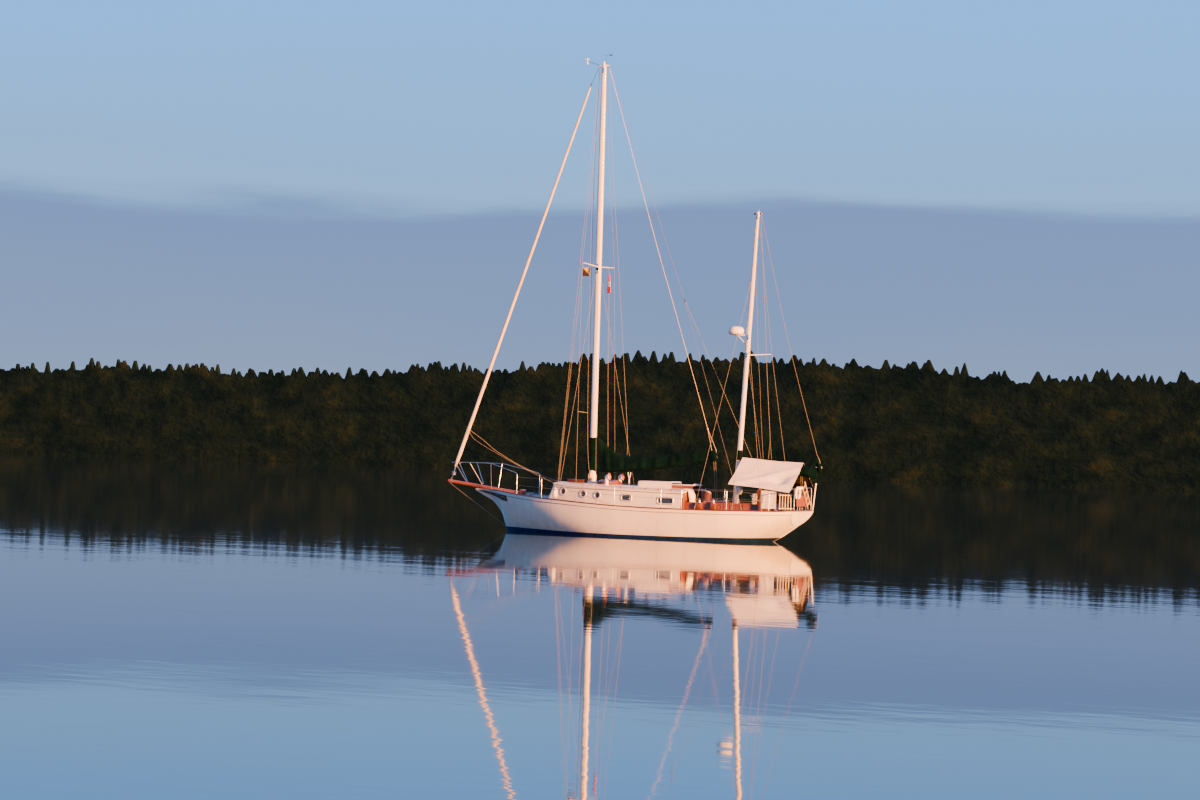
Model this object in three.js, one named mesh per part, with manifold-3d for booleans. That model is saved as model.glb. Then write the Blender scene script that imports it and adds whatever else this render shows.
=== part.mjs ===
// Sailing yacht: a ketch with a clipper bow, a trunk cabin and a long keel, afloat and furled.
// Millimetres. +X is the bow, +Y is port, +Z is up. The origin is amidships on the waterline.
import * as THREE from 'three';
import { mergeVertices } from 'three/addons/utils/BufferGeometryUtils.js';
import Module from 'manifold-3d';

const wasm = await Module();
wasm.setup();

// Driving dimensions
const GAP = 0.3;                 // left between pieces that touch
const BULWARK = 115;             // rail above the deck's edge
const BULWARK_THICK = 55;
const DECK_CAMBER = 45;
const RAKE_TRANSOM = 0.488;      // aft per unit of height, 26 degrees
const CAP_WIDE = 105;
const CAP_HIGH = 35;
const TRUNK_AFT = -2050;
const TRUNK_WALL = 40;
const ROOF_THICK = 45;
const ROOF_EDGE_AFT = 1530;      // height of the roof's edge at the trunk's aft end
const ROOF_EDGE_FORE = 1620;
const ROOF_CAMBER = 130;
const ROOF_HALF = 1250;          // half breadth at which the camber reaches the roof's edge
const HATCH_HALF = 330;          // half width of the companionway
const HATCH_FORE = -1330;
const MAIN_X = 1850;
const MAIN_TOP = 16020;
const MAIN_SPREADER_Z = 9100;
const MAIN_SPREADER_HALF = 1240;
const MIZZEN_X = -3480;          // at the deck
const MIZZEN_FOOT = 945;
const MIZZEN_TOP = 10900;
const MIZZEN_RAKE = 0.0533;      // aft per unit of height
const MIZZEN_SPREADER_Z = 6150;
const STERNPOST_FOOT = [-3550, -1850];
const STERNPOST_HEAD = [-4250, -350];
const RUDDER_GAP = 45;           // from the sternpost's face to the turning axis
const PROP = { x: -3700, z: -975, radius: 235 };
const WHEEL = { x: -4330, z: 1340, radius: 380 };
const SPRIT = { heel: 4480, tip: 7430, heelZ: 1268, tipZ: 1640, wide: 75, high: 68 };
const MAIN_FOOT = 1800;          // the main mast stands on the coachroof's step
const MAIN_BOOM = { x0: MAIN_X - 165, z0: 2225, x1: -2760, z1: 2770, half: 62 };
const MIZZEN_BOOM = { x0: MIZZEN_X - 160, z0: 2370, x1: -6490, z1: 2500, half: 48 };
const DOME_REACH = 450;          // the radar dome's middle ahead of the mizzen mast
const COAMING_TOP = 1230;
const COAMING_THICK = 40;
const LAZARETTE_Z = 985;         // underside of the lazarette's lid
const SLIDE_Z = 1756;            // underside of the sliding hatch
const LEAF = { rise: 65, thick: 28, hinge: 27 };  // skylight leaves; hinge lines off the centreline
const WIRE = 5;                  // radius of the standing rigging
const TUBE = 13;                 // radius of the rails' tubes
const STANCHIONS = [3130, 140, -1570, -2300, -3850];
const STANCHION_HIGH = 640;
const FORWARD_LOWER_X = 2470;    // chainplates of the main mast's forward lower shrouds
const BACKSTAY_PLATE = [-1407, 0, 7977];
const BACKSTAY_FOOT = { x: -4330, y: 1420, over: 24 };  // over the deck's edge
const MIZZEN_FORWARD_Z = 8510;   // where the mizzen's forward stays meet its mast
// A curtain hung from the awning's port eave
const CURTAIN = { x0: -5370, x1: -4840, y: 1128, low: 1105, high: 1697, thick: 5 };
const HANK = { x: MAIN_X, y0: 99, y1: 236, low: 1806, high: 2072, half: 42, rope: 12 };
const HANK_PIN = { z: 2049, radius: 10, y0: 60, y1: 246 };
// Instruments on the main masthead: reach forward of the mast's middle and height above its top
const VANE = { x: -75, tail: -360, high: 335 };
const CUPS = { x: 640, low: 40, high: 265 };

// Awning: a tent of cloth over the mizzen boom, given at its fore and aft edges
const AWNING = {
  fore: { x: -3690, ridge: 2750, eave: 1860 }, aft: { x: -5840, ridge: 2626, eave: 1650 },
  half: 1200, thick: 14, sag: 32,
};

// Columns: x, top of the bulwark, half breadth there, foot of the round body, how full the
// section is, how hollow it is, half thickness of the keel or stem, underside of the keel
const STATIONS = [
  [-5230, 1005, 1290, 235, 2.6, 1.30, 45, 205],
  [-4800, 1000, 1470, 0, 3.0, 1.35, 50, -30],
  [-4250, 995, 1620, -320, 3.4, 1.40, 55, -350],
  [-3900, 985, 1700, -430, 3.8, 1.45, 75, -1100],
  [-3550, 980, 1760, -500, 4.0, 1.50, 85, -1850],
  [-2900, 978, 1805, -600, 4.4, 1.50, 110, -1850],
  [-1570, 978, 1870, -690, 5.0, 1.50, 150, -1835],
  [-100, 1005, 1850, -710, 5.0, 1.50, 160, -1800],
  [1060, 1055, 1750, -680, 4.2, 1.45, 150, -1710],
  [2280, 1125, 1550, -600, 3.0, 1.30, 120, -1530],
  [3380, 1190, 1250, -480, 2.1, 1.15, 90, -1200],
  [4250, 1250, 910, -370, 1.6, 1.00, 60, -790],
  [4700, 1300, 730, -260, 1.4, 0.92, 50, -480],
  [5040, 1335, 570, 30, 1.3, 0.85, 42, -10],
  [5260, 1352, 455, 600, 1.2, 0.80, 40, 560],
  [5480, 1368, 350, 885, 1.1, 0.80, 38, 850],
  [5670, 1380, 255, 1055, 1.1, 0.80, 36, 1020],
  [6010, 1400, 115, 1215, 1.0, 0.85, 34, 1180],
  [6330, 1420, 40, 1375, 1.3, 1.05, 30, 1345],
];
const TRANSOM = [-5620, 1035, 930, 520, 2.2, 1.25, 40, 490];
const ROWS = 11;                 // rows of the section above the keel

// Geometry helpers
function toSolid(geometry) {
  const bare = geometry.clone();
  for (const name of Object.keys(bare.attributes)) {
    if (name !== 'position') bare.deleteAttribute(name);
  }
  const merged = mergeVertices(bare, 1e-3);
  return new wasm.Manifold(new wasm.Mesh({
    numProp: 3,
    vertProperties: new Float32Array(merged.attributes.position.array),
    triVerts: new Uint32Array(merged.index.array),
  }));
}

function toGeometry(solid) {
  const mesh = solid.getMesh();
  const geometry = new THREE.BufferGeometry();
  const places = [];
  for (let i = 0; i < mesh.vertProperties.length; i += mesh.numProp) {
    places.push(mesh.vertProperties[i], mesh.vertProperties[i + 1], mesh.vertProperties[i + 2]);
  }
  geometry.setAttribute('position', new THREE.Float32BufferAttribute(places, 3));
  geometry.setIndex([...mesh.triVerts]);
  geometry.computeVertexNormals();
  return geometry;
}

function union(pieces) {
  return pieces.reduce((sum, piece) => sum.add(piece));
}

function box(x0, x1, y0, y1, z0, z1) {
  const geometry = new THREE.BoxGeometry(x1 - x0, y1 - y0, z1 - z0);
  geometry.translate((x0 + x1) / 2, (y0 + y1) / 2, (z0 + z1) / 2);
  return toSolid(geometry);
}

// A round bar between two points, radius r0 at the first and r1 at the second
function rod(from, to, r0, r1 = r0, sides = 10) {
  const a = new THREE.Vector3(...from);
  const b = new THREE.Vector3(...to);
  const geometry = new THREE.CylinderGeometry(r1, r0, a.distanceTo(b), sides);
  const turn = new THREE.Quaternion().setFromUnitVectors(
    new THREE.Vector3(0, 1, 0), b.clone().sub(a).normalize());
  geometry.applyQuaternion(turn);
  const middle = a.add(b).multiplyScalar(0.5);
  geometry.translate(middle.x, middle.y, middle.z);
  return toSolid(geometry);
}

// A closed body through rings of points; the rings have equal counts and run the same way
function loft(rings) {
  const count = rings[0].length;
  const places = rings.flat(2);
  const faces = [];
  for (let i = 0; i + 1 < rings.length; i++) {
    for (let j = 0; j < count; j++) {
      const k = (j + 1) % count;
      const a = i * count;
      const b = a + count;
      faces.push(a + j, b + j, b + k, a + j, b + k, a + k);
    }
  }
  const cap = (ring, start, along) => {
    const p = ring.map((q) => new THREE.Vector3(...q));
    const normal = new THREE.Vector3();
    for (let j = 0; j < count; j++) normal.add(p[j].clone().cross(p[(j + 1) % count]));
    const side = normal.toArray().map(Math.abs);
    const drop = side.indexOf(Math.max(...side));
    const [u, v] = [0, 1, 2].filter((axis) => axis !== drop);
    const flat = ring.map((q) => new THREE.Vector2(q[u], q[v]));
    const area = THREE.ShapeUtils.area(flat);
    for (const t of THREE.ShapeUtils.triangulateShape(flat, [])) {
      const turn = THREE.ShapeUtils.area(t.map((j) => flat[j]));
      if ((turn * area > 0) !== along) t.reverse();
      faces.push(...t.map((j) => j + start));
    }
  };
  cap(rings[0], 0, true);
  cap(rings[rings.length - 1], (rings.length - 1) * count, false);
  const geometry = new THREE.BufferGeometry();
  geometry.setAttribute('position', new THREE.Float32BufferAttribute(places, 3));
  geometry.setIndex(faces);
  let solid = toSolid(geometry);
  if (solid.volume() < 0) {
    geometry.setIndex(faces.reverse());
    solid = toSolid(geometry);
  }
  return solid;
}

// An outline in plan, raised from z0 to z1
function prism(outline, z0, z1) {
  const shape = new THREE.Shape(outline.map(([x, y]) => new THREE.Vector2(x, y)));
  const geometry = new THREE.ExtrudeGeometry(shape, { depth: z1 - z0, bevelEnabled: false });
  geometry.translate(0, 0, z0);
  return toSolid(geometry);
}

// A round tube along a smooth path through the points
function tube(points, radius, steps, sides = 8) {
  const path = new THREE.CatmullRomCurve3(points.map((p) => new THREE.Vector3(...p)));
  const corners = Array.from({ length: sides }, (_, i) => new THREE.Vector2(
    radius * Math.cos(2 * Math.PI * i / sides), radius * Math.sin(2 * Math.PI * i / sides)));
  return toSolid(new THREE.ExtrudeGeometry(new THREE.Shape(corners), {
    steps, extrudePath: path, bevelEnabled: false,
  }));
}

// A body turned about the Y axis from a profile of radius and height
function lathe(profile, sides) {
  const solid = toSolid(new THREE.LatheGeometry(profile, sides));
  if (solid.volume() > 0) return solid;
  return toSolid(new THREE.LatheGeometry(profile.slice().reverse(), sides));
}

// An ellipse of half sizes a along X and b along Y, as a ring at height z
function ellipse(x, y, z, a, b, sides = 12) {
  return Array.from({ length: sides }, (_, i) => {
    const turn = (i + 0.5) * 2 * Math.PI / sides;
    return [x + a * Math.cos(turn), y + b * Math.sin(turn), z];
  });
}

// Interpolates one column of a table at x; the rows run up in x
function at(table, column, x) {
  const last = table.length - 1;
  if (x <= table[0][0]) return table[0][column];
  if (x >= table[last][0]) return table[last][column];
  const i = table.findIndex((row) => row[0] > x);
  const [a, b] = [table[i - 1], table[i]];
  return a[column] + (b[column] - a[column]) * (x - a[0]) / (b[0] - a[0]);
}

// Hull form
function halfBreadth(station, z) {
  const [, top, beam, foot, full, hollow, stem] = station;
  const t = Math.min(Math.max((z - foot) / (top - foot), 0), 1);
  return stem + (beam - stem) * (1 - (1 - t) ** full) ** (1 / hollow);
}

function hullRing(station, rake) {
  const [x, top, , foot, , , stem, under] = station;
  const port = [];
  for (let i = ROWS; i >= 0; i--) {
    const z = foot + (top - foot) * (i / ROWS) ** 1.4;
    port.push([halfBreadth(station, z), z]);
  }
  port.push([stem * 0.85, (foot + 2 * under) / 3]);
  port.push([stem * 0.6, under]);
  const ring = [...port, ...port.slice().reverse().map(([y, z]) => [-y, z])];
  return ring.map(([y, z]) => [x - rake * (z - under), y, z]);
}

function hullBody() {
  const rings = STATIONS.map((station) => hullRing(station, 0));
  return loft([hullRing(TRANSOM, RAKE_TRANSOM), ...rings]);
}

// Room above the deck, inside the bulwarks; raise shifts its floor, out widens it
function deckRoom(raise, out) {
  const well = STATIONS.filter((station) => station[0] < 5600);
  const rings = well.map((station) => {
    const floor = station[1] - BULWARK + raise;
    const half = halfBreadth(station, station[1] - BULWARK) - BULWARK_THICK + out;
    return deckRing(station[0], floor, half);
  });
  const aft = -5770 - out;
  const tip = [5640, 1378 - BULWARK + raise, 110 + out];
  return loft([
    deckRing(aft, TRANSOM[1] - BULWARK + raise, 850 + out), ...rings, deckRing(...tip)]);
}

function deckRing(x, floor, half) {
  const high = floor + 900;
  const crown = DECK_CAMBER;
  return [
    [x, half, high], [x, half, floor], [x, half / 2, floor + crown * 0.75], [x, 0, floor + crown],
    [x, -half / 2, floor + crown * 0.75], [x, -half, floor], [x, -half, high],
  ];
}

function deckAt(x) {
  return at(STATIONS, 1, x) - BULWARK;
}

// The bowsprit along its slope, grown by grow at the sides and below and by up on top
function spritBlock(grow, up) {
  const ring = (x, z, half, high) => [
    [x, half + grow, z + high + up], [x, -half - grow, z + high + up],
    [x, -half - grow, z - high - grow], [x, half + grow, z - high - grow],
  ];
  return loft([
    ring(SPRIT.heel - grow, SPRIT.heelZ, SPRIT.wide, SPRIT.high),
    ring(SPRIT.tip + grow, SPRIT.tipZ, SPRIT.wide * 0.8, SPRIT.high * 0.8)]);
}

// The deck's top as a solid cut: what stands on the deck is cut by it
const hullWhole = hullBody();
const deckTop = hullWhole.subtract(deckRoom(0, 0));

// Cockpit wells, as x0, x1, half width, floor
const WELLS = [
  [-3230, -2300, 400, 480],
  [-4760, -3760, 400, 480],
];
const SALOON = [
  [TRUNK_AFT + 90, 1500, 880, -300],
  [1490, 2780, 520, -100],
];
const LOCKER = [-5560, -5150, 300, 520];

function hull() {
  let body = deckTop.subtract(spritBlock(1, 400));
  for (const [x0, x1, half, floor] of [...WELLS, ...SALOON, LOCKER]) {
    body = body.subtract(box(x0, x1, -half, half, floor, 1400));
  }
  const aperture = box(PROP.x - 700, PROP.x + 80, -300, 300, PROP.z - 325, PROP.z + 325);
  return body.subtract(aperture).subtract(rod(rudderPoint(1480), rudderPoint(1975), 38, 38, 16));
}

// A point on the rudder's axis, at a height above the keel's heel
function rudderPoint(along) {
  const [x0, z0] = STERNPOST_FOOT;
  const [x1, z1] = STERNPOST_HEAD;
  const long = Math.hypot(x1 - x0, z1 - z0);
  const step = [(x1 - x0) / long, (z1 - z0) / long];
  return [x0 + step[0] * along - RUDDER_GAP * step[1], 0, z0 + step[1] * along + RUDDER_GAP * step[0]];
}

function rudder() {
  const foot = rudderPoint(0);
  const next = rudderPoint(1);
  const up = [next[0] - foot[0], next[2] - foot[2]];
  // Columns: height up the axis, chord aft of it, rise of the ring towards its trailing edge
  const blades = [[70, 520, 0.45], [420, 660, 0.3], [950, 700, 0.25], [1330, 640, 0.3], [1580, 560, 0.4]];
  const rings = blades.map(([s, chord, rise]) => {
    const profile = [[-28, 20], [40, 32], [chord * 0.6, 24], [chord, 7]];
    const around = [...profile, ...profile.slice().reverse().map(([d, y]) => [d, -y])];
    return around.map(([d, y]) => {
      const h = s + rise * Math.max(d, 0);
      return [foot[0] + up[0] * h - up[1] * d, y, foot[2] + up[1] * h + up[0] * d];
    });
  });
  return loft(rings).add(rod(rudderPoint(1500), rudderPoint(1960), 30, 30, 12));
}

function propeller() {
  const hub = rod([PROP.x + 70, 0, PROP.z], [PROP.x - 60, 0, PROP.z], 42, 42, 12);
  const cone = rod([PROP.x - 59, 0, PROP.z], [PROP.x - 110, 0, PROP.z], 42, 14, 12);
  // Columns: radius, chord, pitch angle in degrees
  const sections = [[30, 60, 58], [90, 115, 44], [170, 125, 32], [PROP.radius, 60, 26]];
  const rings = sections.map(([r, chord, pitch]) => {
    const a = pitch * Math.PI / 180;
    const corners = [[-chord / 2, -5], [chord / 2, -5], [chord / 2, 5], [-chord / 2, 5]];
    return corners.map(([c, t]) => [
      PROP.x + c * Math.sin(a) + t * Math.cos(a), c * Math.cos(a) - t * Math.sin(a), r]);
  });
  const blade = loft(rings);
  const blades = [0, 120, 240].map((turn) => blade.rotate([turn, 0, 0]).translate([0, 0, PROP.z]));
  return union([hub, cone, ...blades]);
}

// Rails, bowsprit and bow
function capRail(side) {
  const rows = STATIONS.filter((station) => station[0] < 5900).map((station) => [
    station[0], station[1], station[2] + 20, Math.max(station[2] + 20 - CAP_WIDE, 95)]);
  rows.unshift([-5862, TRANSOM[1] + 2, 938, 938 - CAP_WIDE]);
  const rings = rows.map(([x, z, out, inner]) => [
    [x, side * out, z + GAP], [x, side * out, z + CAP_HIGH],
    [x, side * inner, z + CAP_HIGH], [x, side * inner, z + GAP]]);
  return loft(rings);
}

// The cap rails of both sides, joined round the stern by the taffrail
function capRails() {
  return union([capRail(1), capRail(-1), taffrail()]);
}

function taffrail() {
  const ring = (y, x) => [
    [x, y, TRANSOM[1] + GAP + 2], [x - 110, y, TRANSOM[1] + GAP + 2],
    [x - 118, y, TRANSOM[1] + CAP_HIGH + 6], [x + 6, y, TRANSOM[1] + CAP_HIGH + 6]];
  const half = 938 - CAP_WIDE + 20;
  return loft([ring(-half, -5790), ring(0, -5800), ring(half, -5790)]);
}

function bowsprit() {
  const shroudBand = rod([7330, 0, 1560], [7330, 0, 1700], 62, 62, 12);
  return spritBlock(0, 0).add(shroudBand);
}

function trailboard(side) {
  // Columns: x, lower edge, upper edge
  const rows = [[4760, 1000, 1215], [5030, 1040, 1245], [5400, 1150, 1290], [5800, 1245, 1340],
    [6160, 1325, 1385]];
  const rings = rows.map(([x, low, high]) => {
    const station = STATIONS[0].map((_, column) => (column ? at(STATIONS, column, x) : x));
    const yLow = halfBreadth(station, low);
    const yHigh = halfBreadth(station, high);
    return [
      [x, side * (yLow - 60), low], [x, side * (yLow + 26), low],
      [x, side * (yHigh + 26), high], [x, side * (yHigh - 60), high]];
  });
  return loft(rings).subtract(hullWhole.translate([0, side * GAP, 0]));
}

// Trunk cabin: plan of its outer face, as x and half breadth
const TRUNK_PLAN = [
  [TRUNK_AFT, 1215], [-900, 1255], [200, 1250], [1300, 1170], [2200, 1030], [3400, 750]];
const TRUNK_FORE = 3100;         // the front's foot, at the height FRONT_FOOT
const FRONT_RAKE = 0.45;         // how far the front leans aft per unit of height
const FRONT_FOOT = 1240;
const TUMBLEHOME = 0.06;

function roofEdge(x) {
  return ROOF_EDGE_AFT + (ROOF_EDGE_FORE - ROOF_EDGE_AFT) * (x - TRUNK_AFT) / (2900 - TRUNK_AFT);
}

function roofTop(x, y) {
  return roofEdge(x) + ROOF_CAMBER * (1 - (y / ROOF_HALF) ** 2);
}

function trunkRing(z, inset) {
  const port = TRUNK_PLAN.map(([x, y], i) => (
    [x + (i === 0 ? inset : 0), y - inset - TUMBLEHOME * (z - 1000), z]));
  return [...port, ...port.slice().reverse().map(([x, y]) => [x, -y, z])];
}

// The trunk as a block, its walls and front set in by inset
function trunkBlock(z0, z1, inset) {
  const face = (z) => TRUNK_FORE - inset - (z - FRONT_FOOT) * FRONT_RAKE;
  const ahead = (z) => [[face(z), -1500, z], [4200, -1500, z], [4200, 1500, z], [face(z), 1500, z]];
  const block = loft([trunkRing(z0, inset), trunkRing(z1, inset)]);
  return block.subtract(loft([ahead(z0 - 50), ahead(z1 + 50)]));
}

// The camber's slab: its underside and top follow the roof, shifted by low and high
function roofSlab(low, high) {
  const ys = [-1400, -1050, -700, -350, 0, 350, 700, 1050, 1400];
  const rings = [-2400, 3300].map((x) => [
    ...ys.map((y) => [x, y, roofTop(x, y) + high]),
    ...ys.slice().reverse().map((y) => [x, y, roofTop(x, y) + low])]);
  return loft(rings);
}

function trunkShell() {
  const walls = trunkBlock(700, 1800, 0).subtract(trunkBlock(650, 1850, TRUNK_WALL));
  const roofed = walls.subtract(roofSlab(-ROOF_THICK - GAP, 600));
  return roofed.subtract(deckTop.translate([0, 0, GAP]));
}

// Windows, as x, height of the middle, length, height; equal sizes are round portlights
const WINDOWS = [[2470, 1430, 190, 190], [1640, 1375, 190, 190], [1080, 1345, 190, 190],
  [-30, 1300, 330, 165], [-1455, 1245, 520, 175]];

function windowCuts() {
  return union(WINDOWS.map(([x, z, long, high]) => (
    long === high
      ? rod([x, -1500, z], [x, 1500, z], long / 2, long / 2, 16)
      : box(x - long / 2, x + long / 2, -1500, 1500, z - high / 2, z + high / 2))));
}

const trunkWhole = trunkShell().subtract(windowCuts());
const FRONT_SPLIT = 2640;

function trunkSide(side) {
  const y0 = side > 0 ? 600 : -1500;
  const aft = TRUNK_AFT + TRUNK_WALL + GAP;
  return trunkWhole.intersect(box(aft, FRONT_SPLIT, y0, y0 + 900, 500, 2000));
}

function trunkFront() {
  return trunkWhole.intersect(box(FRONT_SPLIT + GAP, 3300, -1500, 1500, 500, 2000));
}

function trunkBulkhead() {
  const fore = TRUNK_AFT + TRUNK_WALL;
  const wall = trunkWhole.intersect(box(TRUNK_AFT - 10, fore, -1500, 1500, 500, 2000));
  return wall.subtract(box(TRUNK_AFT - 50, TRUNK_AFT + 200, -HATCH_HALF, HATCH_HALF, 1120, 2000));
}

// Fittings of the roof
const FORE_HATCH = { x0: 2080, x1: 2620, half: 270, sill: 60 };
const SKYLIGHT = { x0: 930, x1: 1460, half: 330, sill: 50 };
const HOOD = { x0: -1290, x1: -60, half: 430, top: 1870, wall: 28 };
const VENTS = [[1050, 520]];

function frameAround(at4, thick, z0, z1) {
  const { x0, x1, half } = at4;
  return box(x0 - thick, x1 + thick, -half - thick, half + thick, z0, z1)
    .subtract(box(x0, x1, -half, half, z0 - 50, z1 + 50));
}

// A cowl ventilator whose mouth looks aft
function cowl(x, y) {
  const base = roofTop(x, y);
  const pipe = rod([x, y, base - 20], [x, y, base + 230], 55, 55, 12);
  const mouth = rod([x + 30, y, base + 270], [x - 90, y, base + 285], 70, 115, 14);
  const throat = rod([x - 10, y, base + 275], [x - 120, y, base + 290], 45, 95, 14);
  const back = new THREE.SphereGeometry(78, 12, 8);
  back.translate(x + 22, y, base + 262);
  return union([pipe, mouth, toSolid(back)]).subtract(throat);
}

function coachroof() {
  let roof = roofSlab(-ROOF_THICK, 0).intersect(trunkBlock(1350, 1900, -14));
  const sunk = roofTop((FORE_HATCH.x0 + FORE_HATCH.x1) / 2, FORE_HATCH.half) - 30;
  for (const fitting of [FORE_HATCH, SKYLIGHT]) {
    roof = roof.subtract(box(fitting.x0, fitting.x1, -fitting.half, fitting.half, 1300, 2200));
  }
  const coaming = frameAround(FORE_HATCH, 25, sunk, hatchSill(FORE_HATCH));
  const light = skylightFrame().subtract(roofSlab(-900, -ROOF_THICK));
  const rails = [1, -1].map((side) => (
    box(TRUNK_AFT, HOOD.x1 - 60, side * 350 - 15, side * 350 + 15, 1630, SLIDE_Z - 6)));
  const step = rod([MAIN_X, 0, 1650], [MAIN_X, 0, MAIN_FOOT - GAP], 190, 175, 20);
  const cowls = VENTS.flatMap(([x, y]) => [cowl(x, y), cowl(x, -y)]);
  roof = union([roof, coaming, light, ...rails, step, ...cowls]);
  return roof.subtract(box(TRUNK_AFT - 100, HATCH_FORE, -HATCH_HALF, HATCH_HALF, 1300, 2200));
}

function hatchSill(fitting) {
  return roofTop((fitting.x0 + fitting.x1) / 2, 0) + fitting.sill - 10;
}

function foreHatch() {
  const z = hatchSill(FORE_HATCH) + 6;
  const { x0, x1, half } = FORE_HATCH;
  const lid = box(x0 - 30, x1 + 30, -half - 30, half + 30, z, z + 45);
  const light = box(x0 + 90, x1 - 90, -half + 90, half - 90, z + 35, z + 60);
  return lid.subtract(light);
}

// The skylight's coaming with its gables and ridge board; its leaves meet the ridge board
function skylightFrame() {
  const { x0, x1, half } = SKYLIGHT;
  const sill = hatchSill(SKYLIGHT);
  const ring = (x) => [[x, half + 25, sill - 160], [x, half + 25, sill], [x, 0, sill + LEAF.rise],
    [x, -half - 25, sill], [x, -half - 25, sill - 160]];
  const frame = loft([ring(x0 - 25), ring(x1 + 25)]).subtract(box(x0, x1, -half, half, 1300, 2200));
  const top = sill + LEAF.rise;
  const ridge = box(x0 - 30, x1 + 30, -18, 18, top - 30, top + LEAF.thick + 8);
  return frame.add(ridge);
}

function skylightLeaf(side) {
  const { x0, x1, half } = SKYLIGHT;
  const sill = hatchSill(SKYLIGHT) + 6;
  const inner = LEAF.hinge;
  const out = half + 45;
  const fall = (y) => sill + LEAF.rise * (1 - y / (half + 25));
  const ring = (x) => [[x, side * inner, fall(inner)], [x, side * out, fall(out)],
    [x, side * out, fall(out) + LEAF.thick], [x, side * inner, fall(inner) + LEAF.thick]];
  return loft([ring(x0 - 45), ring(x1 + 45)]);
}

function seaHood() {
  const shell = box(HOOD.x0, HOOD.x1, -HOOD.half, HOOD.half, 1550, HOOD.top);
  const room = box(HOOD.x0 - 50, HOOD.x1 - HOOD.wall, -HOOD.half + HOOD.wall, HOOD.half - HOOD.wall,
    1500, HOOD.top - HOOD.wall);
  return shell.subtract(room).subtract(roofSlab(-200, GAP));
}

function slidingHatch() {
  const lid = box(TRUNK_AFT - 30, HATCH_FORE + 40, -390, 390, SLIDE_Z, SLIDE_Z + 32);
  const lip = box(TRUNK_AFT - 30, TRUNK_AFT + 10, -320, 320, SLIDE_Z + 30, SLIDE_Z + 62);
  return lid.add(lip);
}

// Cockpit
function cockpitCoaming() {
  // Its port half in plan, set in by inset
  const port = (fore, inset) => [
    [fore, 1000 - inset], [-4300, 960 - inset], [-4900 + inset * 0.6, 820 - inset],
    [-5020 + inset, 560 - inset]];
  const plan = (fore, inset) => {
    const half = port(fore, inset);
    return [...half, ...half.slice().reverse().map(([x, y]) => [x, -y])];
  };
  const outer = prism(plan(TRUNK_AFT - 2, 0), 800, COAMING_TOP);
  const inner = prism(plan(TRUNK_AFT + 60, COAMING_THICK), 700, COAMING_TOP + 70);
  return outer.subtract(inner).subtract(deckTop.translate([0, 0, GAP]));
}

function lazaretteLid() {
  return box(-5600, -5125, -345, 345, LAZARETTE_Z, LAZARETTE_Z + 28);
}

function lazaretteCoaming() {
  return frameAround({ x0: -5560, x1: -5150, half: 300 }, 25, 800, LAZARETTE_Z - 6);
}

function pedestal() {
  const column = rod([WHEEL.x + 190, 0, 480 + GAP], [WHEEL.x + 190, 0, 1420], 95, 75, 14);
  const bowl = rod([WHEEL.x + 190, 0, 1420 - 1], [WHEEL.x + 190, 0, 1560], 105, 70, 14);
  const shaft = rod([WHEEL.x + 45, 0, WHEEL.z], [WHEEL.x + 190, 0, WHEEL.z], 38, 38, 12);
  return union([column, bowl, shaft]);
}

function wheel() {
  const profile = Array.from({ length: 9 }, (_, i) => {
    const turn = i * Math.PI / 4;
    return new THREE.Vector2(WHEEL.radius + 15 * Math.cos(turn), 15 * Math.sin(turn));
  });
  const rim = lathe(profile, 28);
  const hub = rod([0, -38, 0], [0, 38, 0], 60, 60, 12);
  const spokes = [0, 60, 120].map((turn) => {
    const a = turn * Math.PI / 180;
    const reach = WHEEL.radius - 4;
    const end = [reach * Math.cos(a), 0, reach * Math.sin(a)];
    return rod(end.map((v) => -v), end, 12, 12, 8);
  });
  return union([rim, hub, ...spokes]).rotate([0, 0, 90]).translate([WHEEL.x, 0, WHEEL.z]);
}

// Masts, as rings of ellipses up the spar: height, half length fore and aft, half breadth
const MAIN_RINGS = [[MAIN_FOOT, 115, 78], [11500, 112, 75], [14500, 96, 62], [MAIN_TOP, 82, 52]];
const MIZZEN_RINGS = [[MIZZEN_FOOT, 85, 60], [7600, 83, 58], [MIZZEN_TOP, 60, 42]];

function mizzenX(z) {
  return MIZZEN_X - (z - 1330) * MIZZEN_RAKE;
}

// The masthead's light, its wind vane on a spindle, and the cone of cups on its arm
function masthead() {
  const point = (x, high) => [MAIN_X + x, 0, MAIN_TOP + high];
  return union([
    rod(point(0, -30), point(0, 110), 36, 30, 12),
    rod(point(VANE.x, -30), point(VANE.x, VANE.high + 12), 7, 5, 8),
    rod(point(VANE.x - 20, VANE.high), point(VANE.tail, VANE.high), 7, 7, 8),
    rod(point(VANE.x + 110, VANE.high), point(VANE.x - 20, VANE.high), 5, 7, 8),
    rod(point(60, -40), point(CUPS.x, 150), 9, 7, 8),
    rod(point(CUPS.x, CUPS.low), point(CUPS.x, CUPS.high), 30, 6, 12),
  ]);
}

function mainMast() {
  const spar = loft(MAIN_RINGS.map(([z, a, b]) => ellipse(MAIN_X, 0, z, a, b)));
  const tip = (side) => [MAIN_X, side * MAIN_SPREADER_HALF, MAIN_SPREADER_Z + 60];
  const spreaders = [1, -1].map((side) => rod([MAIN_X, 0, MAIN_SPREADER_Z], tip(side), 32, 22, 8));
  const crane = box(MAIN_X - 190, MAIN_X + 170, -28, 28, MAIN_TOP - 60, MAIN_TOP - 12);
  return union([spar, ...spreaders, crane, masthead()]);
}

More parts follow.
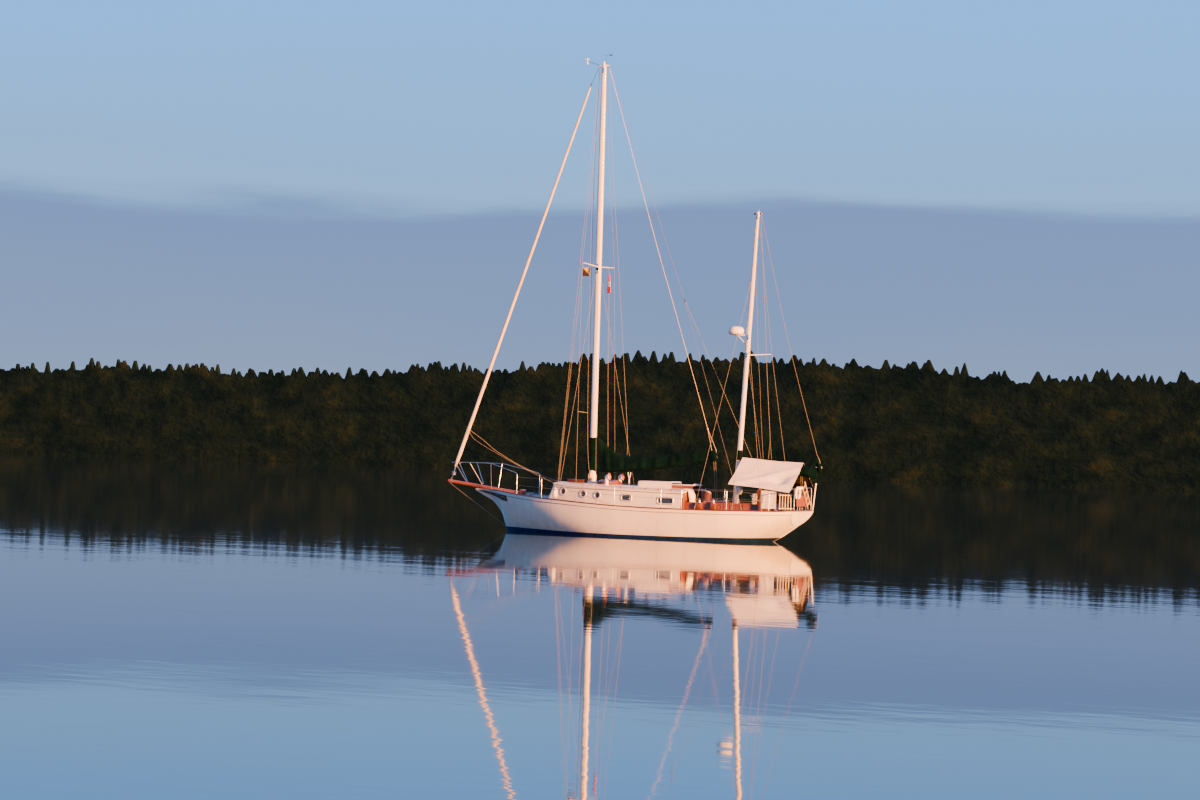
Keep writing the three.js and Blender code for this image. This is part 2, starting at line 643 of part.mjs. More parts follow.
function mizzenMast() {
  const spar = loft(MIZZEN_RINGS.map(([z, a, b]) => ellipse(mizzenX(z), 0, z, a, b)));
  const root = mizzenX(MIZZEN_SPREADER_Z);
  const spreaders = [1, -1].map((side) => rod(
    [root, 0, MIZZEN_SPREADER_Z], [root - 490, side * 930, MIZZEN_SPREADER_Z + 70], 27, 18, 8));
  const raked = mizzenX(6800);
  const bracket = box(root - 20, raked + DOME_REACH, -30, 30, 6790, 6830);
  const strut = rod([raked + 40, 0, 6460], [raked + DOME_REACH - 60, 0, 6800], 14, 14, 8);
  return union([spar, ...spreaders, bracket, strut]);
}

function radarDome() {
  const x = mizzenX(6800) + DOME_REACH;
  const profile = [[0, 0], [225, 0], [268, 60], [272, 130], [235, 215], [130, 262], [0, 272]];
  const dome = lathe(profile.map(([r, z]) => new THREE.Vector2(r, z)), 24);
  return dome.rotate([90, 0, 0]).translate([x, 0, 6830 + GAP]);
}

// Booms and covers. Columns of a cover: x, underside, top, half breadth
function boom({ x0, z0, x1, z1, half }) {
  return rod([x0, 0, z0], [x1, 0, z1], half, half * 0.85, 12);
}

const MAIN_COVER = [
  [1660, 2110, 3300, 60], [1500, 2105, 3190, 95], [1150, 2120, 2880, 150], [650, 2150, 2690, 165],
  [-290, 2220, 2690, 150], [-1300, 2360, 2820, 125], [-2120, 2540, 2950, 85], [-2600, 2640, 2900, 45]];
const MIZZEN_COVER = [
  [-3690, 2230, 2640, 55], [-3950, 2210, 2600, 95], [-4900, 2240, 2560, 100],
  [-5850, 2200, 2540, 90], [-6040, 2150, 2550, 85], [-6150, 2100, 2740, 75],
  [-6300, 2110, 2820, 55], [-6410, 2360, 2700, 30]];

function cover(rows, spar) {
  const rings = rows.map(([x, low, high, half]) => {
    const middle = (low * 2 + high) / 3;
    return [
      [x, 0, low], [x, -half * 0.7, low + 25], [x, -half, middle], [x, -half * 0.35, high - 20],
      [x, 0, high], [x, half * 0.35, high - 20], [x, half, middle], [x, half * 0.7, low + 25]];
  });
  const slope = (spar.z1 - spar.z0) / (spar.x1 - spar.x0);
  const past = 300;
  const fore = [spar.x0 + past, 0, spar.z0 + past * slope];
  const aft = [spar.x1 - past, 0, spar.z1 - past * slope];
  const room = spar.half + GAP * 2;
  return loft(rings).subtract(rod(fore, aft, room, room, 12));
}

// Height of the awning's upper side: along runs 0 to 1 aft, across 0 at the ridge to 1 at the eave
function awningHeight(along, across) {
  const { fore, aft, sag } = AWNING;
  const ridge = fore.ridge + (aft.ridge - fore.ridge) * along - sag / 2 * Math.sin(Math.PI * along);
  const eave = fore.eave + (aft.eave - fore.eave) * along;
  return ridge + (eave - ridge) * across - sag * Math.sin(Math.PI * across);
}

function awning() {
  const { fore, aft, half, thick } = AWNING;
  const [rows, columns] = [8, 12];
  const rings = Array.from({ length: rows + 1 }, (_, i) => {
    const along = i / rows;
    const x = fore.x + (aft.x - fore.x) * along;
    const top = Array.from({ length: columns + 1 }, (__, j) => {
      const side = 2 * j / columns - 1;
      return [x, side * half, awningHeight(along, Math.abs(side))];
    });
    return [...top, ...top.slice().reverse().map(([, y, z]) => [x, y, z - thick])];
  });
  return loft(rings);
}

function sideCurtain() {
  const { x0, x1, y, low, high, thick } = CURTAIN;
  return box(x0, x1, y - thick, y, low, high);
}

// Standing rigging; a stay runs between two points with its radius
function genoa() {
  const foot = [7235, 0, 1890];
  const drum = rod([7238, 0, 1860], [7222, 0, 1960], 85, 85, 14);
  const swivel = rod([7225, 0, 1940], [7180, 0, 2180], 22, 22, 8);
  const roll = rod([7186, 0, 2150], [2340, 0, 15300], 66, 36, 10);
  const stay = rod([2345, 0, 15290], [MAIN_X + 182, 0, MAIN_TOP - 34], 9, 9, 8);
  const tang = rod([7330, 0, 1708], foot, 12, 12, 8);
  return union([drum, swivel, roll, stay, tang]);
}

function chainplate(x, side) {
  return [x, side * (at(STATIONS, 2, x) - 104), deckAt(x) + 14];
}

function turnbuckle(foot, towards) {
  const a = new THREE.Vector3(...foot);
  const b = new THREE.Vector3(...towards);
  const top = a.clone().lerp(b, 330 / a.distanceTo(b));
  return rod(foot, top.toArray(), 13, 13, 6);
}

function stay(foot, top, buckle = true) {
  const wire = rod(foot, top, WIRE, WIRE, 6);
  return buckle ? wire.add(turnbuckle(foot, top)) : wire;
}

function capShroud(side) {
  const tip = [MAIN_X, side * (MAIN_SPREADER_HALF + 9), MAIN_SPREADER_Z + 60];
  const upper = stay(tip, [MAIN_X, side * 68, MAIN_TOP - 200], false);
  return stay(chainplate(1700, side), tip).add(upper);
}

function forwardLower(side) {
  return stay(chainplate(FORWARD_LOWER_X, side), [MAIN_X + 25, side * 86, MAIN_SPREADER_Z - 130]);
}

function aftLower(side) {
  return stay(chainplate(890, side), [MAIN_X - 25, side * 86, MAIN_SPREADER_Z - 130]);
}

// A single backstay that parts, at a plate, into a leg to each quarter
function backstay() {
  const [x, y, z] = BACKSTAY_PLATE;
  const upper = rod([MAIN_X - 197, 0, MAIN_TOP - 36], BACKSTAY_PLATE, WIRE, WIRE, 6);
  const plate = rod([x + 18, y, z + 50], [x - 30, y, z - 80], 12, 34, 8);
  const foot = BACKSTAY_FOOT;
  const legs = [1, -1].map((side) => (
    stay([foot.x, side * foot.y, deckAt(foot.x) + foot.over], BACKSTAY_PLATE)));
  return union([upper, plate, ...legs]);
}

function mizzenCap(side) {
  const root = mizzenX(MIZZEN_SPREADER_Z);
  const tip = [root - 496, side * 941, MIZZEN_SPREADER_Z + 70];
  const top = MIZZEN_TOP - 150;
  const upper = stay(tip, [mizzenX(top) - 10, side * 54, top], false);
  return stay(chainplate(-4950, side), tip).add(upper);
}

function mizzenLower(side) {
  const top = MIZZEN_SPREADER_Z - 90;
  return stay(chainplate(-4000, side), [mizzenX(top), side * 68, top]);
}

function mizzenForward(side) {
  const top = MIZZEN_FORWARD_Z;
  return stay(chainplate(-2700, side), [mizzenX(top) + 60, side * 50, top]);
}

function bobstay() {
  return rod([7345, 0, 1541], [5119, 0, 130], 12, 12, 8);
}

// Pulpit, pushpit and stanchions
const RAIL_TOP = CAP_HIGH + 3;

function railFoot(x, side, inboard = 45) {
  return [x, side * (at(STATIONS, 2, x) - inboard), at(STATIONS, 1, x) + RAIL_TOP];
}

function pulpit() {
  const half = [[5520, 430, 2290], [6300, 300, 2300], [7050, 165, 2290]];
  const nose = [7300, 0, 2285];
  const other = half.map(([x, y, z]) => [x, -y, z]).reverse();
  const rail = tube([...half, nose, ...other], TUBE, 26);
  const legs = [1, -1].flatMap((side) => {
    const aft = railFoot(4300, side);
    const knee = [aft[0], aft[1], 2000];
    return [
      rod(aft, knee, TUBE), rod(knee, [5530, side * 428, 2289], TUBE),
      rod(railFoot(5600, side, 35), [5560, side * 424, 2290], TUBE),
      rod([6080, side * 60, 1566], [6480, side * 270, 2299], TUBE),
      rod([6700, side * 45, 1616], [7120, side * 142, 2287], TUBE),
    ];
  });
  return union([rail, ...legs]);
}

function pushpit() {
  const y0 = 1235;
  const side = [[-5150, y0 + 10, 1590], [-5560, 1070, 1640], [-5850, 760, 1790]];
  const other = side.map(([x, y, z]) => [x, -y, z]).reverse();
  const rail = tube([...side, [-5900, 0, 1800], ...other], TUBE, 26);
  const foot = TRANSOM[1] + CAP_HIGH + 8;
  const posts = [1, -1].flatMap((s) => [
    rod(railFoot(-5170, s), [-5170, s * y0, 1594], TUBE),
    rod([-5852, s * 755, foot], [-5852, s * 755, 1790], TUBE),
    rod([-5852, s * 260, foot], [-5890, s * 260, 1798], TUBE),
  ]);
  return union([rail, ...posts]);
}

function stanchion(x, side) {
  const foot = railFoot(x, side);
  const base = rod(foot, [foot[0], foot[1], foot[2] + 25], 28, 24, 10);
  return base.add(rod(foot, [foot[0], foot[1], foot[2] + STANCHION_HIGH], TUBE, TUBE, 8));
}

// Goosenecks: jaws on the mast and a pin through the boom's end
function gooseneck(x, z, half, mastFace, rake) {
  const jaws = [-1, 1].map((s) => {
    const middle = z + s * (half + 14);
    return box(x - 14, mastFace, -16, 16, middle - 6, middle + 6);
  });
  const reach = half + 16;
  const pin = rod([x + rake * reach, 0, z - reach], [x - rake * reach, 0, z + reach], 9, 9, 10);
  return union([...jaws, pin]);
}

const MAIN_PIVOT = [MAIN_X - 150, 0, MAIN_BOOM.z0];
const MIZZEN_PIVOT = [MIZZEN_X - 180, 0, MIZZEN_BOOM.z0];

function boomWithEye(spar, pivot) {
  const [x, , z] = pivot;
  return boom(spar).subtract(rod([x, 0, z - 200], [x, 0, z + 200], 17, 17, 12));
}

function coverCollar() {
  const x = MAIN_X - 10;
  const wrap = loft([ellipse(x, 0, 2110, 175, 118, 20), ellipse(x, 0, 3300, 150, 100, 20)]);
  const spar = loft([ellipse(MAIN_X, 0, 1800, 116, 79), ellipse(MAIN_X, 0, 3500, 116, 79)]);
  return wrap.subtract(spar).intersect(box(MAIN_X - 100, MAIN_X + 300, -300, 300, 2000, 3400));
}

// A pin on each side of the main mast, for the hank of a halyard's tail
function hankPin(side) {
  const { z, radius, y0, y1 } = HANK_PIN;
  return rod([HANK.x, side * y0, z], [HANK.x, side * y1, z], radius, radius, 12);
}

// A hank of rope hung on its pin: long turns, each in a plane along the boat
function hank(side) {
  const { x, y0, y1, low, high, half, rope } = HANK;
  const turns = (radius, past) => {
    const ends = [low + half, high - half].map((z) => rod(
      [x, side * (y0 - past), z], [x, side * (y1 + past), z], radius, radius, 20));
    const [a, b] = [side * (y0 - past), side * (y1 + past)].sort((p, q) => p - q);
    return union([...ends, box(x - radius, x + radius, a, b, low + half, high - half)]);
  };
  return turns(half, 0).subtract(turns(half - rope, 10));
}

// Materials
const MATERIALS = {
  whiteHull: [0xe8e0d4, 0.35, 0], teak: [0x8c4a20, 0.5, 0], spar: [0xe9e4da, 0.4, 0],
  green: [0x10352a, 0.85, 0], canvas: [0xe6e0dc, 0.9, 0], cream: [0xe3d3a8, 0.85, 0],
  steel: [0xb9bcbf, 0.3, 0.9], white: [0xeae6de, 0.45, 0], bronze: [0x9a7a3c, 0.4, 0.9],
  board: [0x4a2a18, 0.6, 0],
};

function mesh(name, solid, kind) {
  const [color, roughness, metalness] = MATERIALS[kind];
  const material = new THREE.MeshStandardMaterial({ color, roughness, metalness });
  const made = new THREE.Mesh(toGeometry(solid), material);
  made.name = name;
  return made;
}

const lockerEdge = lazaretteCoaming().subtract(deckTop.translate([0, 0, -1]));
const mainPin = gooseneck(MAIN_PIVOT[0], MAIN_BOOM.z0, MAIN_BOOM.half, MAIN_X - 90, 0);
const mizzenPin = gooseneck(
  MIZZEN_PIVOT[0], MIZZEN_BOOM.z0, MIZZEN_BOOM.half, MIZZEN_X - 120, MIZZEN_RAKE);

const yacht = new THREE.Group();
const single = [
  ['hull', hull().add(lockerEdge), 'whiteHull'],
  ['cap_rail', capRails(), 'teak'],
  ['bowsprit', bowsprit(), 'teak'],
  ['trunk_front', trunkFront(), 'white'],
  ['trunk_bulkhead', trunkBulkhead(), 'teak'],
  ['coachroof', coachroof(), 'white'],
  ['sea_hood', seaHood(), 'white'],
  ['sliding_hatch', slidingHatch(), 'white'],
  ['fore_hatch', foreHatch(), 'teak'],
  ['cockpit_coaming', cockpitCoaming(), 'teak'],
  ['lazarette_lid', lazaretteLid(), 'teak'],
  ['pedestal', pedestal(), 'white'],
  ['steering_wheel', wheel(), 'teak'],
  ['rudder', rudder(), 'whiteHull'],
  ['propeller', propeller(), 'bronze'],
  ['main_mast', union([mainMast(), mainPin, hankPin(1), hankPin(-1)]), 'spar'],
  ['mizzen_mast', mizzenMast().add(mizzenPin), 'spar'],
  ['main_boom', boomWithEye(MAIN_BOOM, MAIN_PIVOT), 'spar'],
  ['main_sail_cover', cover(MAIN_COVER, MAIN_BOOM), 'green'],
  ['main_cover_collar', coverCollar(), 'green'],
  ['mizzen_boom', boomWithEye(MIZZEN_BOOM, MIZZEN_PIVOT), 'spar'],
  ['mizzen_sail_cover', cover(MIZZEN_COVER, MIZZEN_BOOM), 'green'],
  ['awning', awning(), 'canvas'],
  ['side_curtain', sideCurtain(), 'canvas'],
  ['main_backstay', backstay(), 'steel'],
  ['furled_genoa', genoa(), 'cream'],
  ['radar_dome', radarDome(), 'white'],
  ['bobstay', bobstay(), 'steel'],
  ['pulpit', pulpit(), 'steel'],
  ['pushpit', pushpit(), 'steel'],
];
const paired = [
  ['trailboard', trailboard, 'board'], ['trunk', trunkSide, 'white'],
  ['skylight', skylightLeaf, 'teak'], ['halyard_hank', hank, 'cream'],
  ['main_cap_shroud', capShroud, 'steel'], ['main_forward_lower', forwardLower, 'steel'],
  ['main_aft_lower', aftLower, 'steel'],
  ['mizzen_cap_shroud', mizzenCap, 'steel'], ['mizzen_lower', mizzenLower, 'steel'],
  ['mizzen_forward_stay', mizzenForward, 'steel'],
];
for (const [name, solid, kind] of single) yacht.add(mesh(name, solid, kind));
for (const [name, make, kind] of paired) {
  yacht.add(mesh(`${name}_port`, make(1), kind));
  yacht.add(mesh(`${name}_starboard`, make(-1), kind));
}
STANCHIONS.forEach((x, i) => {
  yacht.add(mesh(`stanchion_port_${i + 1}`, stanchion(x, 1), 'steel'));
  yacht.add(mesh(`stanchion_starboard_${i + 1}`, stanchion(x, -1), 'steel'));
});

export default yacht;
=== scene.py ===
"""Looks of a ketch afloat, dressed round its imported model.

Metres. +X is the bow, +Y is port, +Z is up, and the waterline is z = 0.
"""

import math

import bmesh
import bpy
from mathutils import Matrix, Vector, noise


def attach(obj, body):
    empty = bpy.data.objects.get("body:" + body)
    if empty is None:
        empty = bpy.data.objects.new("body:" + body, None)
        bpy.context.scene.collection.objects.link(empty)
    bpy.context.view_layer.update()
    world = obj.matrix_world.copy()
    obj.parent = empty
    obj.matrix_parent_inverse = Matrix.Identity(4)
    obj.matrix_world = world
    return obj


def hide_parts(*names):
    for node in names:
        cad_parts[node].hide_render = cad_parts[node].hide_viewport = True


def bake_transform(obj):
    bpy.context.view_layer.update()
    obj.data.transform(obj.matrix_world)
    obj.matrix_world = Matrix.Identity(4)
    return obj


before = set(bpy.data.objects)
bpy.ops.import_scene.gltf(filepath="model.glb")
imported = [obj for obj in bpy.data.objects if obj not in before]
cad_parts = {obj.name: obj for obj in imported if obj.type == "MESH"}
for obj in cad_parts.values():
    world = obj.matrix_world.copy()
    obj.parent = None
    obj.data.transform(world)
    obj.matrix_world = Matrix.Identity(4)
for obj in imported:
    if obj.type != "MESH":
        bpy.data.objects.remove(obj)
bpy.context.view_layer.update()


def vec(*parts):
    return Vector(parts)


# Camera, from where the photograph was taken
CAMERA_AT = (-38.04, 81.57, 2.8)
CAMERA_TURN = 25.943             # degrees off straight abeam, towards the bow
CAMERA_TILT = 1.114
CAMERA_ROLL = 1.65
FOCAL_PIXELS = 2664
IMAGE_WIDE = 1200
SENSOR = 36.0
FAR_CLIP = 2000


def make_camera():
    turn, tilt, roll = (math.radians(a) for a in (CAMERA_TURN, CAMERA_TILT, CAMERA_ROLL))
    flat = vec(math.sin(turn), -math.cos(turn), 0)
    forward = flat * math.cos(tilt) + vec(0, 0, math.sin(tilt))
    level = forward.cross(vec(0, 0, 1)).normalized()
    upright = level.cross(forward)
    right = level * math.cos(roll) + upright * math.sin(roll)
    up = upright * math.cos(roll) - level * math.sin(roll)
    data = bpy.data.cameras.new("camera")
    data.sensor_width = SENSOR
    data.lens = SENSOR * FOCAL_PIXELS / IMAGE_WIDE
    data.clip_end = FAR_CLIP
    camera = bpy.data.objects.new("camera", data)
    bpy.context.scene.collection.objects.link(camera)
    turned = Matrix((right, up, -forward)).transposed().to_4x4()
    camera.matrix_world = Matrix.Translation(CAMERA_AT) @ turned
    bpy.context.scene.camera = camera


make_camera()


# Materials
class Tree:
    """A node tree, built node by node over one set of coordinates."""

    def __init__(self, tree, space):
        self.tree = tree
        self.where = self.add("ShaderNodeTexCoord").outputs[space]

    def put(self, node, key, value):
        if isinstance(value, bpy.types.NodeSocket):
            self.tree.links.new(value, node.inputs[key])
        else:
            node.inputs[key].default_value = value

    def add(self, kind, values=None, **settings):
        node = self.tree.nodes.new(kind)
        for key, value in settings.items():
            setattr(node, key, value)
        for key, value in (values or {}).items():
            self.put(node, key, value)
        return node

    def stretch(self, scale, turn=(0, 0, 0)):
        values = {"Vector": self.where, "Scale": scale, "Rotation": turn}
        return self.add("ShaderNodeMapping", values).outputs[0]

    def noise(self, scale, vector=None, detail=4.0, rough=0.55):
        values = {"Vector": vector or self.where, "Scale": scale, "Detail": detail}
        return self.add("ShaderNodeTexNoise", {**values, "Roughness": rough}).outputs["Fac"]

    def wave(self, scale, turn, distortion=0.0):
        values = {"Vector": self.stretch((1, 1, 1), turn), "Scale": scale, "Distortion": distortion}
        return self.add("ShaderNodeTexWave", values).outputs["Fac"]

    def math(self, operation, a, b=0.0):
        return self.add("ShaderNodeMath", {0: a, 1: b}, operation=operation).outputs[0]

    def axis(self, letter):
        split = self.add("ShaderNodeSeparateXYZ", {0: self.where})
        return split.outputs["XYZ".index(letter)]

    def facing_up(self):
        """1 where the surface faces straight up, -1 where it faces down."""
        normal = self.add("ShaderNodeNewGeometry").outputs["Normal"]
        return self.add("ShaderNodeSeparateXYZ", {0: normal}).outputs[2]

    def ramp(self, factor, *stops):
        node = self.add("ShaderNodeValToRGB", {0: factor})
        band = node.color_ramp
        while len(band.elements) < len(stops):
            band.elements.new(0.5)
        for element, (place, color) in zip(band.elements, stops):
            element.position = place
            element.color = (*color, 1) if len(color) == 3 else color
        return node.outputs[0]

    def level(self, factor, low, high, to_low=0.0, to_high=1.0):
        values = {0: factor, 1: low, 2: high, 3: to_low, 4: to_high}
        return self.add("ShaderNodeMapRange", values).outputs[0]

    def mix(self, factor, a, b):
        node = self.add("ShaderNodeMix", data_type="RGBA")
        self.put(node, 0, factor)
        self.put(node, 6, (*a, 1) if isinstance(a, tuple) else a)
        self.put(node, 7, (*b, 1) if isinstance(b, tuple) else b)
        return node.outputs[2]


class Nodes(Tree):
    """A material's nodes, round its shader."""

    def __init__(self, name, rough=0.5, metal=0.0, coat=0.0, sheen=0.0, shine=0.5):
        self.material = bpy.data.materials.new(name)
        self.material.use_nodes = True
        super().__init__(self.material.node_tree, "Object")
        self.shader = self.tree.nodes["Principled BSDF"]
        for key, value in (("Roughness", rough), ("Metallic", metal), ("Coat Weight", coat),
                           ("Sheen Weight", sheen), ("Specular IOR Level", shine)):
            self.put(self.shader, key, value)

    def bump(self, height, distance, strength=1.0):
        values = {"Height": height, "Distance": distance, "Strength": strength}
        if self.shader.inputs["Normal"].is_linked:
            values["Normal"] = self.shader.inputs["Normal"].links[0].from_socket
        made = self.add("ShaderNodeBump", values).outputs[0]
        self.put(self.shader, "Normal", made)

    def finish(self, color):
        self.put(self.shader, "Base Color", (*color, 1) if isinstance(color, tuple) else color)
        return self.material


BOOT_TOP = 0.085                 # height of the boot top amidships, above the water
BOOT_RISE = 0.0022               # its rise towards the ends, per metre squared


def paint_hull():
    """White gloss over a dark blue boot top and bottom, with faint weathering."""
    n = Nodes("hull_paint", rough=0.28, coat=0.5)
    x, z = n.axis("X"), n.axis("Z")
    edge = n.math("ADD", n.math("MULTIPLY", n.math("MULTIPLY", x, x), BOOT_RISE), BOOT_TOP)
    white = n.ramp(n.noise(0.9), (0.3, (0.88, 0.77, 0.6)), (0.7, (0.95, 0.85, 0.7)))
    streaks = n.noise(1.0, n.stretch((3.5, 3.5, 0.35)), detail=6)
    white = n.mix(n.level(streaks, 0.56, 0.75, 0.0, 0.35), white, (0.62, 0.52, 0.4))
    low = n.level(z, 0.12, 0.62, 0.28, 0.0)
    scum = n.math("MULTIPLY", low, n.level(n.noise(5.0, n.stretch((0.6, 0.6, 1.6))), 0.35, 0.65))
    white = n.mix(scum, white, (0.5, 0.42, 0.26))
    navy = n.ramp(n.noise(3.0), (0.35, (0.004, 0.02, 0.085)), (0.7, (0.008, 0.032, 0.125)))
    above = n.math("GREATER_THAN", z, edge)
    wavy = n.noise(1.3, n.stretch((0.5, 0.5, 0.9)), detail=1)
    n.bump(wavy, 0.01, 0.35)
    n.bump(n.noise(55.0, detail=2), 0.0004, 0.3)
    n.put(n.shader, "Roughness", n.level(streaks, 0.3, 0.8, 0.22, 0.42))
    return n.finish(n.mix(above, navy, white))


def gelcoat(name, grip):
    """White gelcoat; where it faces up and grip is set it has a moulded nonskid grain."""
    n = Nodes(name, rough=0.32, coat=0.25)
    color = n.ramp(n.noise(1.6, detail=6), (0.3, (0.8, 0.71, 0.62)), (0.7, (0.9, 0.82, 0.74)))
    stain = n.noise(2.2, n.stretch((2.0, 2.0, 0.4)), detail=7)
    color = n.mix(n.level(stain, 0.58, 0.78, 0.0, 0.3), color, (0.5, 0.42, 0.33))
    n.bump(n.noise(30.0, detail=3), 0.0008, 0.4)
    if grip:
        up = n.facing_up()
        dots = n.add("ShaderNodeTexVoronoi",
                     {"Vector": n.where, "Scale": 160.0}).outputs["Distance"]
        n.bump(n.math("MULTIPLY", dots, n.level(up, 0.9, 0.97)), 0.0012, 0.8)
        color = n.mix(n.level(up, 0.9, 0.97, 0.0, 0.5), color, (0.74, 0.68, 0.6))
    return n.finish(color)


def wood(name, dark, light, grain=(1, 9, 9), rough=0.3, coat=0.7, worn=0.25):
    """Varnished wood whose grain runs along the axis of least scale."""
    n = Nodes(name, rough=rough, coat=coat)
    rings = n.noise(4.0, n.stretch(grain), detail=8, rough=0.65)
    color = n.ramp(rings, (0.28, dark), (0.72, light))
    pores = n.noise(26.0, n.stretch(tuple(0.35 * g if g > 1 else 0.25 for g in grain)), detail=3)
    color = n.mix(n.level(pores, 0.55, 0.75, 0.0, 0.55), color, tuple(0.4 * c for c in dark))
    patches = n.noise(1.7, detail=3)
    color = n.mix(n.level(patches, 0.55, 0.8, 0.0, worn), color,
                  tuple(min(1, 1.7 * c) for c in light))
    n.put(n.shader, "Roughness", n.level(patches, 0.3, 0.8, rough * 0.8, rough * 1.5))
    n.bump(pores, 0.0006, 0.5)
    return n.finish(color)


PLANK = 0.052                    # width of the laid deck's planks


def laid_deck():
    """Scrubbed teak planks with dark caulking, running fore and aft."""
    n = Nodes("laid_deck", rough=0.62)
    y = n.axis("Y")
    lane = n.math("DIVIDE", y, PLANK)
    cell = n.math("FLOOR", lane)
    across = n.math("FRACT", lane)
    seam = n.math("MAXIMUM", n.math("LESS_THAN", across, 0.06),
                  n.math("GREATER_THAN", across, 0.94))
    tone = n.add("ShaderNodeTexWhiteNoise", {"W": cell}, noise_dimensions="1D").outputs["Value"]
    grain = n.noise(5.0, n.stretch((0.8, 14, 14)), detail=7)
    color = n.ramp(grain, (0.3, (0.34, 0.22, 0.13)), (0.75, (0.52, 0.39, 0.26)))
    color = n.mix(n.level(tone, 0.0, 1.0, 0.0, 0.35), color, (0.45, 0.36, 0.27))
    color = n.mix(seam, color, (0.02, 0.018, 0.016))
    n.bump(n.math("SUBTRACT", grain, n.math("MULTIPLY", seam, 3.0)), 0.0012, 0.7)
    return n.finish(color)


def cloth(name, dark, light, weave=900.0, rough=0.85, sheen=0.3, fold=0.004, shine=0.5,
          underside_painted_shade=None):
    """Woven cloth with a fine weave, soft creases and faded patches; where a dark underside colour
    is given, faces that look down take it as painted shade.
    """
    n = Nodes(name, rough=rough, sheen=sheen, shine=shine)
    color = n.ramp(n.noise(2.4, detail=5), (0.3, dark), (0.75, light))
    # Painted shade: faces that look down take the dark underside colour.
    if underside_painted_shade:
        up = n.facing_up()
        color = n.mix(n.level(up, -0.06, 0.06), underside_painted_shade, color)
    warp, weft = (n.wave(weave / 6.3, turn) for turn in ((0, 0, 0), (0, math.pi / 2, 0)))
    woven = n.math("MULTIPLY", warp, weft)
    color = n.mix(n.level(woven, 0, 1, 0.0, 0.12), color, tuple(0.6 * c for c in dark))
    creases = n.noise(3.2, n.stretch((1.0, 1.6, 2.2)), detail=6, rough=0.6)
    n.bump(creases, fold, 0.7)
    n.bump(woven, 0.0004, 0.5)
    return n.finish(color)


def spar_paint():
    """White spar enamel with rub marks and a little chalking."""
    n = Nodes("spar_paint", rough=0.35, coat=0.35)
    color = n.ramp(n.noise(1.2, n.stretch((3, 3, 0.5)), detail=6), (0.3, (0.82, 0.74, 0.63)),
                   (0.7, (0.93, 0.87, 0.77)))
    rubs = n.noise(9.0, n.stretch((4, 4, 0.3)), detail=5)
    color = n.mix(n.level(rubs, 0.62, 0.75, 0.0, 0.4), color, (0.45, 0.41, 0.36))
    n.bump(n.noise(40.0, detail=2), 0.0005, 0.3)
    return n.finish(color)


def metal(name, color, rough, stain=(0.25, 0.16, 0.08), metal=1.0):
    """Metal with a brushed grain and a little tarnish."""
    n = Nodes(name, rough=rough, metal=metal)
    brushed = n.noise(60.0, n.stretch((1, 1, 8)), detail=4)
    tarnish = n.noise(7.0, detail=6)
    shade = n.mix(n.level(tarnish, 0.58, 0.78, 0.0, 0.45), color, stain)
    n.put(n.shader, "Roughness", n.level(brushed, 0.3, 0.7, rough * 0.7, rough * 1.4))
    n.bump(brushed, 0.0002, 0.4)
    return n.finish(shade)


def plastic(name, dark, light, rough=0.45, grain=90.0, coat=0.0):
    """Moulded plastic or rubber with a fine grain and scuffs."""
    n = Nodes(name, rough=rough, coat=coat)
    scuffs = n.noise(4.0, detail=7)
    n.put(n.shader, "Roughness", n.level(scuffs, 0.3, 0.8, rough * 0.8, min(1.0, rough * 1.3)))
    n.bump(n.noise(grain, detail=2), 0.0005, 0.5)
    return n.finish(n.ramp(scuffs, (0.3, dark), (0.7, light)))


def laid_rope(name, dark, light, twist=60.0):
    """Laid rope: diagonal strands over a fuzzy, weathered fibre."""
    n = Nodes(name, rough=0.9, sheen=0.3)
    strands = n.wave(twist, (0.6, 0.7, 0.3), 0.6)
    fibre = n.ramp(n.noise(12), (0.3, dark), (0.7, light))
    color = n.mix(n.level(strands, 0, 1, 0.0, 0.5), fibre, dark)
    n.bump(strands, 0.0015, 0.9)
    return n.finish(color)


def window_glass():
    """Dark tinted glass with salt film."""
    n = Nodes("window_glass", rough=0.06, coat=0.6)
    film = n.noise(9.0, detail=6)
    n.put(n.shader, "Roughness", n.level(film, 0.35, 0.8, 0.04, 0.22))
    n.bump(n.noise(2.5, detail=1), 0.002, 0.2)
    return n.finish(n.ramp(film, (0.3, (0.01, 0.016, 0.026)), (0.8, (0.035, 0.045, 0.06))))


def striped(name, axis, edges, colors):
    """Flag cloth in plain bands: edges along one axis, and one more colour than edges."""
    n = Nodes(name, rough=0.8, sheen=0.2)
    place = n.axis(axis)
    color = n.mix(n.level(n.noise(14, detail=5), 0.3, 0.7), colors[0],
                  tuple(0.8 * c for c in colors[0]))
    for edge, tone in zip(edges, colors[1:]):
        color = n.mix(n.math("GREATER_THAN", place, edge), color, tone)
    n.bump(n.noise(900, detail=1), 0.0003, 0.5)
    return n.finish(color)


BURGEE_SPLIT = (1.79, 8.86)      # x and height of a point on the burgee's diagonal


def split_flag():
    """Burgee cloth split along its diagonal: black towards the foot of the hoist, gold above."""
    n = Nodes("pennant_cloth", rough=0.8, sheen=0.2)
    height = n.math("SUBTRACT", n.axis("Z"), BURGEE_SPLIT[1])
    split = n.math("SUBTRACT", height, n.math("SUBTRACT", n.axis("X"), BURGEE_SPLIT[0]))
    n.bump(n.noise(900, detail=1), 0.0003, 0.5)
    gold = n.ramp(n.noise(9, detail=4), (0.3, (0.52, 0.33, 0.03)), (0.7, (0.7, 0.46, 0.06)))
    return n.finish(n.mix(n.math("GREATER_THAN", split, 0.0), (0.015, 0.013, 0.012), gold))


